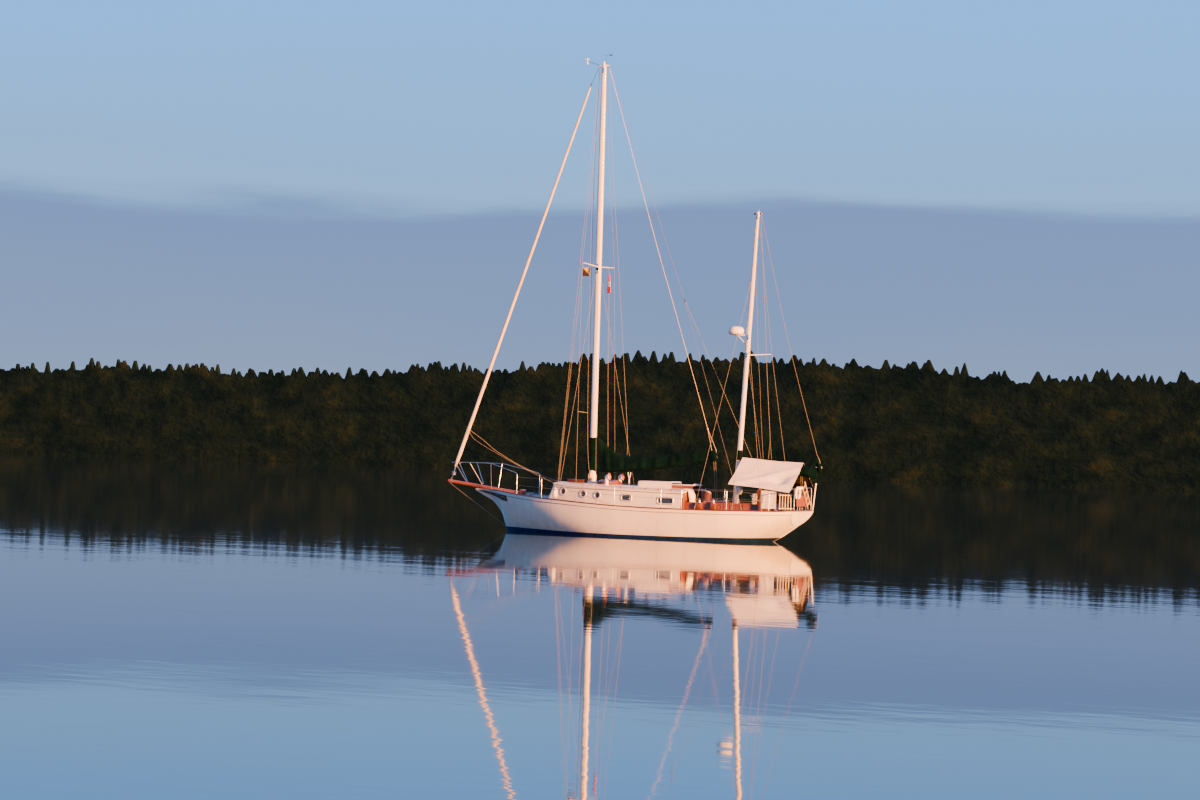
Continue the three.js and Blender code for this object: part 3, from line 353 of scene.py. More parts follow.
def still_water():
    """Dark glossy water, hardly moving."""
    n = Nodes("still_water", rough=0.03)
    swell = n.noise(0.35, n.stretch((0.5, 1.0, 1.0), (0, 0, 0.45)), detail=3)
    ripple = n.noise(2.6, n.stretch((0.5, 1.0, 1.0), (0, 0, 0.45)), detail=2)
    n.bump(swell, 0.05, 0.1)
    n.bump(ripple, 0.01, 0.12)
    return n.finish(n.ramp(swell, (0.3, (0.01, 0.018, 0.028)), (0.7, (0.014, 0.024, 0.034))))


def leaves():
    """Woods in the last light, with light and shade painted on: clump tops lighter and warmer,
    hollows darker and bluer.
    """
    n = Nodes("woods", rough=1.0, shine=0.0)
    clumps_and_painted_light = n.noise(0.16, n.stretch((1.0, 1.0, 1.7)), detail=9, rough=0.7)
    n.bump(clumps_and_painted_light, 2.0, 0.6)
    # Painted light and shade: the colour rises with the clumps' height, warm on their tops and dark
    # blue in the hollows.
    return n.finish(n.ramp(clumps_and_painted_light, (0.42, (0.003, 0.0095, 0.015)), (0.56, (0.0065, 0.016, 0.018)),
                           (0.72, (0.02, 0.029, 0.018))))


HULL_PAINT = paint_hull()
DECKHOUSE = gelcoat("deckhouse_gelcoat", False)
NONSKID = gelcoat("roof_gelcoat", True)
TEAK = wood("varnished_teak", (0.12, 0.026, 0.0025), (0.29, 0.082, 0.007), coat=0.4)
TEAK_UP = wood("varnished_teak_upright", (0.135, 0.032, 0.003), (0.33, 0.1, 0.0085),
               grain=(9, 9, 1), coat=0.4)
RAIL_TEAK = wood("rail_teak", (0.06, 0.012, 0.0025), (0.15, 0.036, 0.006), coat=0.4)
HATCH_TEAK = wood("hatch_teak", (0.03, 0.008, 0.0025), (0.08, 0.022, 0.0055), rough=0.5, coat=0.1)
BOARD = wood("trailboard_wood", (0.05, 0.018, 0.006), (0.14, 0.056, 0.016), rough=0.6, coat=0.0,
             worn=0.1)
BOARD_EDGE = plastic("trailboard_edge", (0.42, 0.4, 0.37), (0.6, 0.57, 0.52))
DECK_TEAK = laid_deck()
CABIN_WOOD = wood("cabin_wood", (0.1, 0.035, 0.012), (0.25, 0.1, 0.035), rough=0.45, coat=0.2)
SPAR = spar_paint()
GREEN = cloth("cover_canvas", (0.0003, 0.0048, 0.0052), (0.0011, 0.0165, 0.0155), fold=0.03,
              sheen=0.0, shine=0.06)
GREEN_WEB = cloth("cover_webbing", (0.002, 0.01, 0.006), (0.006, 0.024, 0.014), weave=400,
                  sheen=0.0, shine=0.1)
# The awning's underside is painted near black as painted shade under the cloth.
AWNING_CLOTH = cloth("awning_cloth", (0.76, 0.69, 0.66), (0.9, 0.83, 0.8), fold=0.012, sheen=0.0,
                     shine=0.1, underside_painted_shade=(0.01, 0.008, 0.007))
WHITE_CLOTH = cloth("white_cloth", (0.9, 0.8, 0.66), (0.96, 0.89, 0.78), fold=0.01)
SAIL = cloth("sail_cloth", (0.66, 0.52, 0.3), (0.82, 0.69, 0.45), fold=0.006, weave=600)
DOME = plastic("radome", (0.8, 0.77, 0.72), (0.9, 0.88, 0.84), rough=0.35, coat=0.3)
BRONZE = metal("bronze", (0.42, 0.24, 0.08), 0.38, (0.1, 0.2, 0.14))
STEEL = metal("stainless", (0.62, 0.58, 0.54), 0.24)
WIRE = metal("rigging_wire", (0.21, 0.195, 0.18), 0.5, (0.15, 0.12, 0.09), metal=0.4)
GALVANISED = metal("galvanised", (0.4, 0.39, 0.38), 0.55)
GLASS = window_glass()
WINDOW_FRAME = metal("window_frame", (0.8, 0.74, 0.62), 0.35, (0.5, 0.4, 0.28), metal=0.55)
ROPE = laid_rope("rope", (0.17, 0.145, 0.115), (0.31, 0.27, 0.215))
ROPE_WHITE = laid_rope("rope_white", (0.19, 0.17, 0.15), (0.34, 0.31, 0.27))
COIL_ROPE_LOOK = laid_rope("halyard_rope", (0.62, 0.46, 0.28), (0.88, 0.7, 0.46))
VENT_RED = plastic("vent_red", (0.34, 0.04, 0.018), (0.46, 0.07, 0.03))
BLACK = plastic("black_rubber", (0.012, 0.012, 0.013), (0.03, 0.029, 0.028), rough=0.6)
BUOY = plastic("buoy", (0.8, 0.74, 0.62), (0.9, 0.85, 0.74), rough=0.55)
PENNANT = split_flag()
COURTESY = striped("courtesy_cloth", "Z", (8.48, 8.66),
                   ((0.62, 0.02, 0.02), (0.75, 0.7, 0.66), (0.6, 0.02, 0.02)))
CREAM_WOOD = wood("painted_wood", (0.5, 0.36, 0.2), (0.74, 0.58, 0.36), grain=(9, 9, 1), rough=0.45,
                  coat=0.1)
BLUE = plastic("blue_plastic", (0.03, 0.07, 0.15), (0.06, 0.12, 0.24))
WATER = still_water()
WOODS = leaves()


# The slot listed for each material, passed with its pieces where they say no other; settle does not
# use it
SLOTS = {
    "hull_paint": (HULL_PAINT,),
    "deckhouse_gelcoat": (DECKHOUSE,),
    "teak": (TEAK, TEAK_UP, RAIL_TEAK, HATCH_TEAK, CREAM_WOOD, CABIN_WOOD),
    "trailboard_wood": (BOARD, BOARD_EDGE),
    "spar_paint": (SPAR,),
    "cover_canvas": (GREEN, GREEN_WEB),
    "sail_cloth": (SAIL,),
    "bronze": (BRONZE,),
    "stainless": (STEEL, WIRE, GALVANISED),
    "glass": (GLASS,),
    "window_frame": (WINDOW_FRAME,),
    "rope": (ROPE, ROPE_WHITE, COIL_ROPE_LOOK),
}
SLOT_OF = {material.name: slot for slot, group in SLOTS.items() for material in group}


# Mesh making
MERGE = 1e-5                     # points closer than this are one point


def around(count, start=0.0):
    """Angles once round, evenly spaced; start shifts them by a share of a step."""
    return [2 * math.pi * (i + start) / count for i in range(count)]


def grid(rows, columns, point):
    """Rows of points of a cloth: point takes the share along the rows and along a row."""
    return [[point(i / rows, j / columns) for j in range(columns + 1)] for i in range(rows + 1)]


def clamp(value, low=0, high=1):
    return min(max(value, low), high)


def smooth_path(points, steps=6, loop=False):
    """Points along a Catmull-Rom curve through the given ones."""
    p = [Vector(q) for q in points]
    count = len(p)
    spans = count if loop else count - 1
    found = []
    for i in range(spans):
        b, c = p[i], p[(i + 1) % count]
        a = p[(i - 1) % count] if loop or i > 0 else 2 * b - c
        d = p[(i + 2) % count] if loop or i + 2 < count else 2 * c - b
        for s in range(steps):
            t = s / steps
            found.append(0.5 * (2 * b + (c - a) * t + (2 * a - 5 * b + 4 * c - d) * t ** 2
                                + (3 * b - a - 3 * c + d) * t ** 3))
    return found if loop else found + [p[-1]]


class Shape:
    """Gathers closed bodies in one mesh."""

    def __init__(self):
        self.bm = bmesh.new()

    def loft(self, rings, loop=False):
        """A body through rings of points; loop joins the last ring to the first."""
        rows = [[self.bm.verts.new(p) for p in ring] for ring in rings]
        count = len(rows[0])
        pairs = list(zip(rows, rows[1:])) + ([(rows[-1], rows[0])] if loop else [])
        for a, b in pairs:
            for j in range(count):
                k = (j + 1) % count
                self.bm.faces.new((a[j], a[k], b[k], b[j]))
        if not loop:
            self.bm.faces.new(rows[0][::-1])
            self.bm.faces.new(rows[-1])
        return self

    def tube(self, points, radius, sides=8, loop=False, flat=1.0):
        """A round bar along points; radius is one number, or one for each point."""
        p = [Vector(q) for q in points]
        radii = radius if hasattr(radius, "__len__") else [radius] * len(p)
        last = len(p) - 1
        normal = None
        rings = []
        for i, q in enumerate(p):
            ahead = p[(i + 1) % len(p)] if loop or i < last else q
            behind = p[i - 1] if loop or i > 0 else q
            along = (ahead - behind).normalized()
            if normal is None:
                start = vec(0, 0, 1) if abs(along.z) < 0.9 else vec(1, 0, 0)
                normal = start.cross(along)
            normal = (normal - along * normal.dot(along)).normalized()
            side = along.cross(normal)
            rings.append([q + normal * math.cos(a) * radii[i] + side * math.sin(a) * radii[i] * flat
                          for a in around(sides, 0.5)])
        return self.loft(rings, loop)

    def lathe(self, profile, centre, axis=(0, 0, 1), steps=24):
        """A turned body: profile gives radius and height along the axis, from end to end."""
        turn = vec(0, 0, 1).rotation_difference(Vector(axis)).to_matrix()
        rings = []
        for radius, height in profile:
            r = max(radius, 1e-6)
            rings.append([Vector(centre) + turn @ vec(r * math.cos(a), r * math.sin(a), height)
                          for a in around(steps)])
        return self.loft(rings)

    def box(self, low, high, bevel=0.0, turn=None):
        """A box between two corners, its edges rounded by bevel, turned about its middle."""
        middle = (Vector(low) + Vector(high)) / 2
        size = Vector(high) - Vector(low)
        sized = (turn or Matrix.Identity(4)) @ Matrix.Diagonal((*size, 1))
        place = Matrix.Translation(middle) @ sized
        made = bmesh.ops.create_cube(self.bm, size=1, matrix=place)
        if bevel:
            edges = list(dict.fromkeys(e for v in made["verts"] for e in v.link_edges))
            bmesh.ops.bevel(self.bm, geom=edges, offset=bevel, segments=2, affect="EDGES",
                            profile=0.6)
        return self

    def bar(self, a, b, wide, high, bevel=0.004, up=(0, 0, 1)):
        """A squared bar from a to b."""
        a, b = Vector(a), Vector(b)
        along = (b - a).normalized()
        side = Vector(up).cross(along).normalized()
        top = along.cross(side)
        turn = Matrix((along, side, top)).transposed().to_4x4()
        half = vec((b - a).length / 2, wide / 2, high / 2)
        middle = (a + b) / 2
        return self.box(middle - half, middle + half, bevel, turn)

    def make(self, name, material, body="hull", slot=None, replaces=(), angle=38):
        bmesh.ops.remove_doubles(self.bm, verts=self.bm.verts, dist=MERGE)
        bmesh.ops.dissolve_degenerate(self.bm, edges=self.bm.edges, dist=MERGE)
        bmesh.ops.recalc_face_normals(self.bm, faces=self.bm.faces)
        mesh = bpy.data.meshes.new(name)
        self.bm.to_mesh(mesh)
        self.bm.free()
        made = bpy.data.objects.new(name, mesh)
        bpy.context.scene.collection.objects.link(made)
        mesh.materials.append(material)
        soften(made, angle)
        return settle(made, body, slot or (SLOT_OF.get(material.name) if body else None), replaces)


def soften(made, angle=38):
    """Smooth shading, with edges sharper than the angle kept crisp."""
    bm = bmesh.new()
    bm.from_mesh(made.data)
    limit = math.radians(angle)
    for face in bm.faces:
        face.smooth = True
    for edge in bm.edges:
        edge.smooth = edge.calc_face_angle(0) < limit
    bm.to_mesh(made.data)
    bm.free()


def settle(made, body="hull", slot=None, replaces=()):
    """Rides on its body, and hides the nodes that it stands for; slot is not used."""
    if body:
        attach(made, body)
    if replaces:
        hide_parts(*replaces)
    return made


def apply_modifiers(made):
    """Puts what the modifiers make into the mesh."""
    view = bpy.context.evaluated_depsgraph_get()
    made.data = bpy.data.meshes.new_from_object(made.evaluated_get(view))
    made.modifiers.clear()


def carve(made, *cuts):
    """Cuts the shapes out of the object, and removes them."""
    for cut in cuts:
        tool = made.modifiers.new("cut", "BOOLEAN")
        tool.operation = "DIFFERENCE"
        tool.solver = "EXACT"
        tool.object = cut
    apply_modifiers(made)
    for cut in cuts:
        bpy.data.objects.remove(cut)
    return made


def cutter(shape):
    return shape.make("cutter", HULL_PAINT, body=None)


def both(make):
    """Runs a maker for port and for starboard."""
    for side, word in ((1, "port"), (-1, "starboard")):
        make(side, word)


# Hull form. Columns: x, top of the bulwark, half breadth there, foot of the round body, how full
# and how hollow the section is, half thickness of the keel or stem, underside of the keel
STATIONS = [
    (-5.620, 1.035, 0.930, 0.520, 2.2, 1.25, 0.040, 0.490),
    (-5.230, 1.005, 1.290, 0.235, 2.6, 1.30, 0.045, 0.205),
    (-4.800, 1.000, 1.470, 0.000, 3.0, 1.35, 0.050, -0.030),
    (-4.250, 0.995, 1.620, -0.320, 3.4, 1.40, 0.055, -0.350),
    (-3.900, 0.985, 1.700, -0.430, 3.8, 1.45, 0.075, -1.100),
    (-3.550, 0.980, 1.760, -0.500, 4.0, 1.50, 0.085, -1.850),
    (-2.900, 0.978, 1.805, -0.600, 4.4, 1.50, 0.110, -1.850),
    (-1.570, 0.978, 1.870, -0.690, 5.0, 1.50, 0.150, -1.835),
    (-0.100, 1.005, 1.850, -0.710, 5.0, 1.50, 0.160, -1.800),
    (1.060, 1.055, 1.750, -0.680, 4.2, 1.45, 0.150, -1.710),
    (2.280, 1.125, 1.550, -0.600, 3.0, 1.30, 0.120, -1.530),
    (3.380, 1.190, 1.250, -0.480, 2.1, 1.15, 0.090, -1.200),
    (4.250, 1.250, 0.910, -0.370, 1.6, 1.00, 0.060, -0.790),
    (4.700, 1.300, 0.730, -0.260, 1.4, 0.92, 0.050, -0.480),
    (5.040, 1.335, 0.570, 0.030, 1.3, 0.85, 0.042, -0.010),
    (5.260, 1.352, 0.455, 0.600, 1.2, 0.80, 0.040, 0.560),
    (5.480, 1.368, 0.350, 0.885, 1.1, 0.80, 0.038, 0.850),
    (5.670, 1.380, 0.255, 1.055, 1.1, 0.80, 0.036, 1.020),
    (6.010, 1.400, 0.115, 1.215, 1.0, 0.85, 0.034, 1.180),
    (6.330, 1.420, 0.040, 1.375, 1.3, 1.05, 0.030, 1.345),
]
TRANSOM_X = STATIONS[0][0]
QUARTER_X = STATIONS[1][0]       # the hull's sections stand upright from here forward
TRANSOM_RAKE = 0.488
STERNPOST_FOOT = -3.55           # aft of here the keel's underside is straight between rows
BULWARK = 0.115
BULWARK_THICK = 0.055
CAMBER = 0.045
HULL_ROWS = 22


def curve_slopes(xs, ys):
    """Slopes of a monotone cubic through the points."""
    gaps = [b - a for a, b in zip(xs, xs[1:])]
    rises = [(b - a) / g for a, b, g in zip(ys, ys[1:], gaps)]
    inner = []
    for g0, g1, r0, r1 in zip(gaps, gaps[1:], rises, rises[1:]):
        w0, w1 = 2 * g1 + g0, g1 + 2 * g0
        inner.append(0.0 if r0 * r1 <= 0 else (w0 + w1) / (w0 / r0 + w1 / r1))
    return [rises[0], *inner, rises[-1]]


def table_curve(rows, column):
    """A function of x: the smooth curve through one column of a table, whose first column is x."""
    rows = sorted(rows)
    xs, ys = [r[0] for r in rows], [r[column] for r in rows]
    slope = curve_slopes(xs, ys)

    def value(x):
        i = max(0, min(len(xs) - 2, sum(1 for a in xs if a <= x) - 1))
        gap = xs[i + 1] - xs[i]
        t = clamp((x - xs[i]) / gap)
        h = t * t * (3 - 2 * t)
        return (ys[i] * (1 - h) + ys[i + 1] * h
                + gap * (slope[i] * t * (1 - t) ** 2 - slope[i + 1] * t * t * (1 - t)))
    return value


def straight(rows, column):
    """A function of x: straight between the rows of a table."""
    rows = sorted(rows)

    def value(x):
        for a, b in zip(rows, rows[1:]):
            if x <= b[0]:
                t = clamp((x - a[0]) / (b[0] - a[0]))
                return a[column] + (b[column] - a[column]) * t
        return rows[-1][column]
    return value


sheer, beam, foot_z, fullness, hollow, stem_half = (table_curve(STATIONS, c) for c in range(1, 7))
keel_curve = table_curve(STATIONS, 7)
keel_straight = straight(STATIONS, 7)


def keel_z(x):
    return keel_straight(x) if x < STERNPOST_FOOT else keel_curve(x)


def half_breadth(x, z):
    """Half breadth of the hull at a height."""
    t = clamp((z - foot_z(x)) / (sheer(x) - foot_z(x)))
    stem = stem_half(x)
    return stem + (beam(x) - stem) * (1 - (1 - t) ** fullness(x)) ** (1 / hollow(x))


def raked(x, z):
    """Where a point of the section at x lies once the transom's rake is taken up."""
    share = clamp((QUARTER_X - x) / (QUARTER_X - TRANSOM_X))
    return x - TRANSOM_RAKE * share * (z - keel_z(x))


def spread(start, end, step):
    count = max(1, round(abs(end - start) / step))
    return [start + (end - start) * i / count for i in range(count + 1)]


HULL_X = sorted({*spread(TRANSOM_X, 6.33, 0.11), *(row[0] for row in STATIONS)})


def hull_ring(x):
    top, foot, stem, under = sheer(x), foot_z(x), stem_half(x), keel_z(x)
    heights = [foot + (top - foot) * (i / HULL_ROWS) ** 1.3 for i in range(HULL_ROWS, -1, -1)]
    port = [(half_breadth(x, z), z) for z in heights]
    port += [(stem * 0.85, (foot + 2 * under) / 3), (stem * 0.6, under)]
    ring = port + [(-y, z) for y, z in reversed(port)]
    return [(raked(x, z), y, z) for y, z in ring]


def deck_edge(x):
    """Half breadth and height of the deck's edge inside the bulwark."""
    z = sheer(x) - BULWARK
    return half_breadth(x, z) - BULWARK_THICK, z


def deck_room():
    """The space above the deck, inside the bulwarks."""
    rows = [(-5.77, 0.85, 1.035 - BULWARK)]
    rows += [(x, *deck_edge(x)) for x in HULL_X if QUARTER_X <= x < 5.5]
    rows += [(5.64, 0.11, 1.378 - BULWARK)]
    rings = []
    for x, half, z in rows:
        arc = [(x, half * s / 8, z + CAMBER * (1 - (s / 8) ** 2)) for s in range(8, -9, -1)]
        rings.append([(x, half, z + 0.9), *arc, (x, -half, z + 0.9)])
    return Shape().loft(rings)


def deck_z(x, y=0.0):
    half, z = deck_edge(x)
    return z + CAMBER * (1 - min(1, (y / half) ** 2))


SPRIT_HEEL, SPRIT_TIP = vec(4.48, 0, 1.268), vec(7.43, 0, 1.64)
WELLS = [(-3.23, -2.30, 0.40, 0.48), (-4.76, -3.76, 0.40, 0.48)]     # x0, x1, half breadth, floor
SALOON = [(-1.96, 1.5, 0.88, -0.3), (1.49, 2.78, 0.52, -0.1)]
LOCKER = [(-5.56, -5.15, 0.3, 0.52)]
PROP_X, PROP_Z = -3.7, -0.975
DECK_ABOVE = 0.7                 # faces above this height that look up are decks
CABIN = (-1.98, 2.8, 0.86)       # aft end, fore end and top of what is panelled below deck
AFT_SKIN = -5.79                 # faces aft of this are the transom's
HEEL, HEAD_LINE = (-3.55, -1.85), (-4.25, -0.35)     # x and z of two points on the rudder's axis


AXIS_AFT = 0.045                 # the axis lies this far aft of the line


def rudder_point(along, aft=0.0):
    """A point on the rudder's axis, at a height above the keel's heel, moved aft of it."""
    (x0, z0), (x1, z1) = HEEL, HEAD_LINE
    long = math.hypot(x1 - x0, z1 - z0)
    sx, sz = (x1 - x0) / long, (z1 - z0) / long
    off = aft + AXIS_AFT
    return vec(x0 + sx * along - off * sz, 0, z0 + sz * along + off * sx)


def make_hull():
    hull = Shape().loft([hull_ring(x) for x in HULL_X]).make("hull_shell", HULL_PAINT, body=None)
    rooms = [cutter(Shape().box((x0, -half, low), (x1, half, 1.4)))
             for x0, x1, half, low in WELLS + SALOON + LOCKER]
    slot = []
    ends = (SPRIT_HEEL, -0.02, 0.076, -0.07), (SPRIT_TIP, 0.02, 0.062, -0.056)
    for end, past, wide, low in ends:
        corners = ((-1, low), (1, low), (1, 0.5), (-1, 0.5))
        slot.append([end + vec(past, s * wide, h) for s, h in corners])
    aperture = Shape().box((PROP_X - 0.7, -0.3, PROP_Z - 0.325),
                           (PROP_X + 0.08, 0.3, PROP_Z + 0.325))
    bore = Shape().tube([rudder_point(1.4), rudder_point(1.975)], 0.038, 16)
    carve(hull, cutter(deck_room()), cutter(Shape().loft(slot)), *rooms, cutter(aperture),
          cutter(bore))
    hull.data.materials.clear()
    for kind in (HULL_PAINT, DECK_TEAK, DECKHOUSE, CABIN_WOOD):
        hull.data.materials.append(kind)
    for face in hull.data.polygons:
        face.material_index = hull_material(*face.center, face.normal.z > 0.8)
    soften(hull, 30)
    settle(hull, "hull", "hull_paint", ["hull"])


def hull_material(x, y, z, faces_up):
    """Which of the hull's materials a face takes: paint, deck, gelcoat or cabin wood."""
    within = abs(y) < max(beam(x) - 0.04, 0.02) and z > -0.4 and abs(y) < half_breadth(x, z) - 0.03
    if not within or x < AFT_SKIN:
        return 0
    if faces_up and z > DECK_ABOVE:
        return 1
    if CABIN[0] < x < CABIN[1] and z < CABIN[2]:
        return 3
    return 1 if faces_up else 2


make_hull()


# Rails, bowsprit and bow
SEAT = 0.0003                    # left between pieces that touch
CAP_WIDE = 0.105
CAP_HIGH = 0.035
beam_at, sheer_at = straight(STATIONS[1:], 2), straight(STATIONS[1:], 1)


def rounded(out, inner, low, high, corner=0.009):
    """Corners of a bar's section with its edges taken off, as across and up."""
    return [(out - corner, low), (out, low + corner), (out, high - corner), (out - corner, high),
            (inner + corner, high), (inner, high - corner), (inner, low + corner),
            (inner + corner, low)]


def cap_rail(side, word):
    low = STATIONS[0][1] + 0.002 + SEAT
    rings = [[(-5.862, side * y, z) for y, z in rounded(0.938, 0.833, low, low + CAP_HIGH)]]
    for x in spread(-5.5, 5.67, 0.12):
        out, low = beam(x) + 0.02, sheer(x) + SEAT
        section = rounded(out, max(out - CAP_WIDE, 0.095), low, low + CAP_HIGH)
        rings.append([(raked(x, sheer(x)), side * y, z) for y, z in section])
    made = Shape().loft(rings)
    made.make("cap_rail_varnished_" + word, RAIL_TEAK, replaces=["cap_rail"], angle=50)
    heights = [(x, sheer(x) - 0.108) for x in spread(-5.6, 4.68, 0.12)]
    strake = [(raked(x, z), side * half_breadth(x, z), z) for x, z in heights]
    Shape().tube(strake, 0.013, 6, flat=0.7).make("rubbing_strake_" + word, RAIL_TEAK, angle=70)


both(cap_rail)


def transom_line():
    """A thin dark line round the edge of the transom."""
    low, high = STATIONS[0][3] + 0.01, STATIONS[0][1] - 0.02
    ring = [Vector(p) + vec(0.004, 0, 0) for p in hull_ring(TRANSOM_X)]
    shape = Shape()
    for side in (1, -1):
        edge = [p for p in ring if low < p.z < high and p.y * side > 0.02]
        shape.tube(sorted(edge, key=lambda p: -p.z), 0.0075, 6)
    shape.make("transom_line", BLACK, angle=70)


transom_line()


def make_taffrail():
    rings = []
    for i in range(13):
        share = i / 6 - 1
        x = -5.8 + 0.01 * share ** 2
        section = rounded(0.006, -0.118, 1.0373, 1.076, 0.01)
        rings.append([(x + dx, 0.832 * share, z) for dx, z in section])
    Shape().loft(rings).make("taffrail_varnished", RAIL_TEAK, replaces=["cap_rail"], angle=50)


make_taffrail()


def make_bowsprit():
    rings = []
    for share in spread(0, 1, 0.08):
        middle = SPRIT_HEEL.lerp(SPRIT_TIP, share)
        wide, high = 0.075 * (1 - 0.2 * share), 0.068 * (1 - 0.2 * share)
        rings.append([middle + vec(0, y, z) for y, z in rounded(wide, -wide, -high, high, 0.022)])
    Shape().loft(rings).make("bowsprit_timber", TEAK, replaces=["bowsprit"], angle=50)
    slope = (SPRIT_TIP - SPRIT_HEEL).normalized()
    iron = Shape()
    for x, long in ((7.33, 0.07), (5.3, 0.05)):
        middle = SPRIT_HEEL + slope * ((x - SPRIT_HEEL.x) / slope.x)
        wide = 0.152 - 0.03 * (x - SPRIT_HEEL.x) / 2.95
        iron.bar(middle - slope * long / 2, middle + slope * long / 2, wide, wide - 0.014, 0.012)
    for z in (1.697, 1.558):
        ring = [(7.335 + 0.026 * math.cos(a), 0, z + 0.018 * math.sin(a)) for a in around(12)]
        iron.tube(ring, 0.007, 6, loop=True)
    iron.make("bowsprit_irons", GALVANISED)
    heel = Shape().box((4.44, -0.12, 1.17), (4.56, 0.12, 1.43), 0.02)
    heel.make("bowsprit_bitt", TEAK_UP)


make_bowsprit()

# Trailboards. Columns: x, lower edge, upper edge
TRAILBOARD = [(4.76, 1.000, 1.215), (5.03, 1.04, 1.245), (5.4, 1.15, 1.29), (5.8, 1.245, 1.34),
              (6.16, 1.325, 1.385)]
board_low, board_high = table_curve(TRAILBOARD, 1), table_curve(TRAILBOARD, 2)


def trailboard(side, word):
    rings, low_edge, high_edge = [], [], []
    for x in spread(4.76, 6.16, 0.07):
        low, high = board_low(x), board_high(x)
        y_low, y_high = half_breadth(x, low), half_breadth(x, high)
        rings.append([(x, side * (y_low - 0.002), low), (x, side * (y_low + 0.022), low),
                      (x, side * (y_high + 0.022), high), (x, side * (y_high - 0.002), high)])
        low_edge.append((x, side * (y_low + 0.018), low + 0.008))
        high_edge.append((x, side * (y_high + 0.018), high - 0.008))
    name = "trailboard_" + word
    Shape().loft(rings).make(name + "_carved", BOARD, replaces=[name])
    border = Shape().tube(low_edge + high_edge[::-1], 0.008, 6, loop=True)
    for i in range(3):
        middle = 5.0 + 0.34 * i
        scroll = []
        for k in range(26):
            turn, reach = k * 0.42, 0.01 + 0.0019 * k * (1 - 0.2 * i)
            x = middle + 0.09 + (reach * math.cos(turn) - 0.0075 * k)
            z = (board_low(x) + board_high(x)) / 2 + reach * 0.8 * math.sin(turn)
            scroll.append((x, side * (half_breadth(x, z) + 0.022), z))
        border.tube(scroll, 0.0045, 5)
    border.make(name + "_border", BOARD_EDGE, angle=70)


both(trailboard)

# Trunk cabin. Columns of the plan: x, half breadth at the height of 1 m
TRUNK_AFT = -2.05
TRUNK_PLAN = [(-2.05, 1.215), (-0.9, 1.255), (0.2, 1.25), (1.3, 1.17), (2.2, 1.03), (3.4, 0.75)]
TRUNK_WALL = 0.04
ROOF_THICK = 0.045
HATCH_HALF = 0.33
HATCH_FORE = -1.33
CORNER = 0.10                    # radius of the trunk's fore corners in plan
SQUARISH = 0.42                  # power that squares the long windows
trunk_plan = table_curve(TRUNK_PLAN, 1)
# x, height of the middle, length, height; equal sizes are round portlights
WINDOWS = [(2.47, 1.43, 0.19, 0.19), (1.64, 1.375, 0.19, 0.19), (1.08, 1.345, 0.19, 0.19),
           (-0.03, 1.3, 0.33, 0.165), (-1.455, 1.245, 0.52, 0.175)]


def roof_edge(x):
    return 1.53 + 0.09 * (x + 2.05) / 4.95


def roof_top(x, y):
    return roof_edge(x) + 0.13 * (1 - (y / 1.25) ** 2)


def trunk_face(x, z):
    """Half breadth of the trunk's outer face, which leans in as it rises."""
    return trunk_plan(x) - 0.06 * (z - 1.0)


def trunk_front(z):
    return 3.1 - (z - 1.24) * 0.45


def trunk_half(x, z, out=0.0):
    """Half breadth with the fore corners rounded; out grows it."""
    start = trunk_front(z) + out - CORNER
    if x <= start:
        return trunk_face(x, z) + out
    drop = min((x - start) / CORNER, 1)
    return trunk_face(start, z) + out - CORNER * (1 - math.sqrt(1 - drop * drop))


def trunk_ring(z, inset, aft):
    fore = trunk_front(z) - inset
    start = fore - CORNER
    xs = [aft + (start - aft) * i / 24 for i in range(25)]
    xs += [start + CORNER * math.sin(math.pi / 12 * i) for i in range(1, 7)]
    port = [(x, trunk_half(x, z, -inset), z) for x in xs]
    return port + [(x, -y, z) for x, y, z in reversed(port)]


def roof_cutter(low, high):
    ys = spread(1.4, -1.4, 0.1)
    rings = [[(x, y, roof_top(x, y) + low) for y in ys]
             + [(x, y, roof_top(x, y) + high) for y in ys[::-1]] for x in spread(-2.4, 3.3, 0.57)]
    return Shape().loft(rings)


def window_point(window, a, out=0.0):
    """A point round a window at an angle, as x and z."""
    x, z, long, high = window
    power = 1.0 if long == high else SQUARISH
    c, s = math.cos(a), math.sin(a)
    return (x + math.copysign(abs(c) ** power, c) * (long / 2 + out),
            z + math.copysign(abs(s) ** power, s) * (high / 2 + out))


def outline(window, out=0.0):
    return [window_point(window, a, out) for a in around(32)]


def make_trunk():
    aft = TRUNK_AFT + TRUNK_WALL + SEAT
    trunk = Shape().loft([trunk_ring(z, 0, aft) for z in (0.8, 1.3, 1.85)])
    trunk = trunk.make("trunk_walls", DECKHOUSE, body=None)
    room = Shape().loft([trunk_ring(z, TRUNK_WALL, aft - 0.2) for z in (0.75, 1.3, 1.9)])
    holes = Shape()
    for window in WINDOWS:
        holes.loft([[(x, y, z) for x, z in outline(window)] for y in (-1.6, 1.6)])
    carve(trunk, cutter(room), cutter(roof_cutter(-ROOF_THICK - SEAT, 0.6)), cutter(holes))
    soften(trunk, 30)
    settle(trunk, "hull", "deckhouse_gelcoat", ["trunk_port", "trunk_starboard", "trunk_front"])


make_trunk()


# A window's rim, from its foot on the wall over to the pane: how far out, how proud
RIM = [(0.052, -0.004), (0.049, 0.012), (0.032, 0.021), (0.01, 0.023), (0.0, 0.013), (0.0, -0.02)]


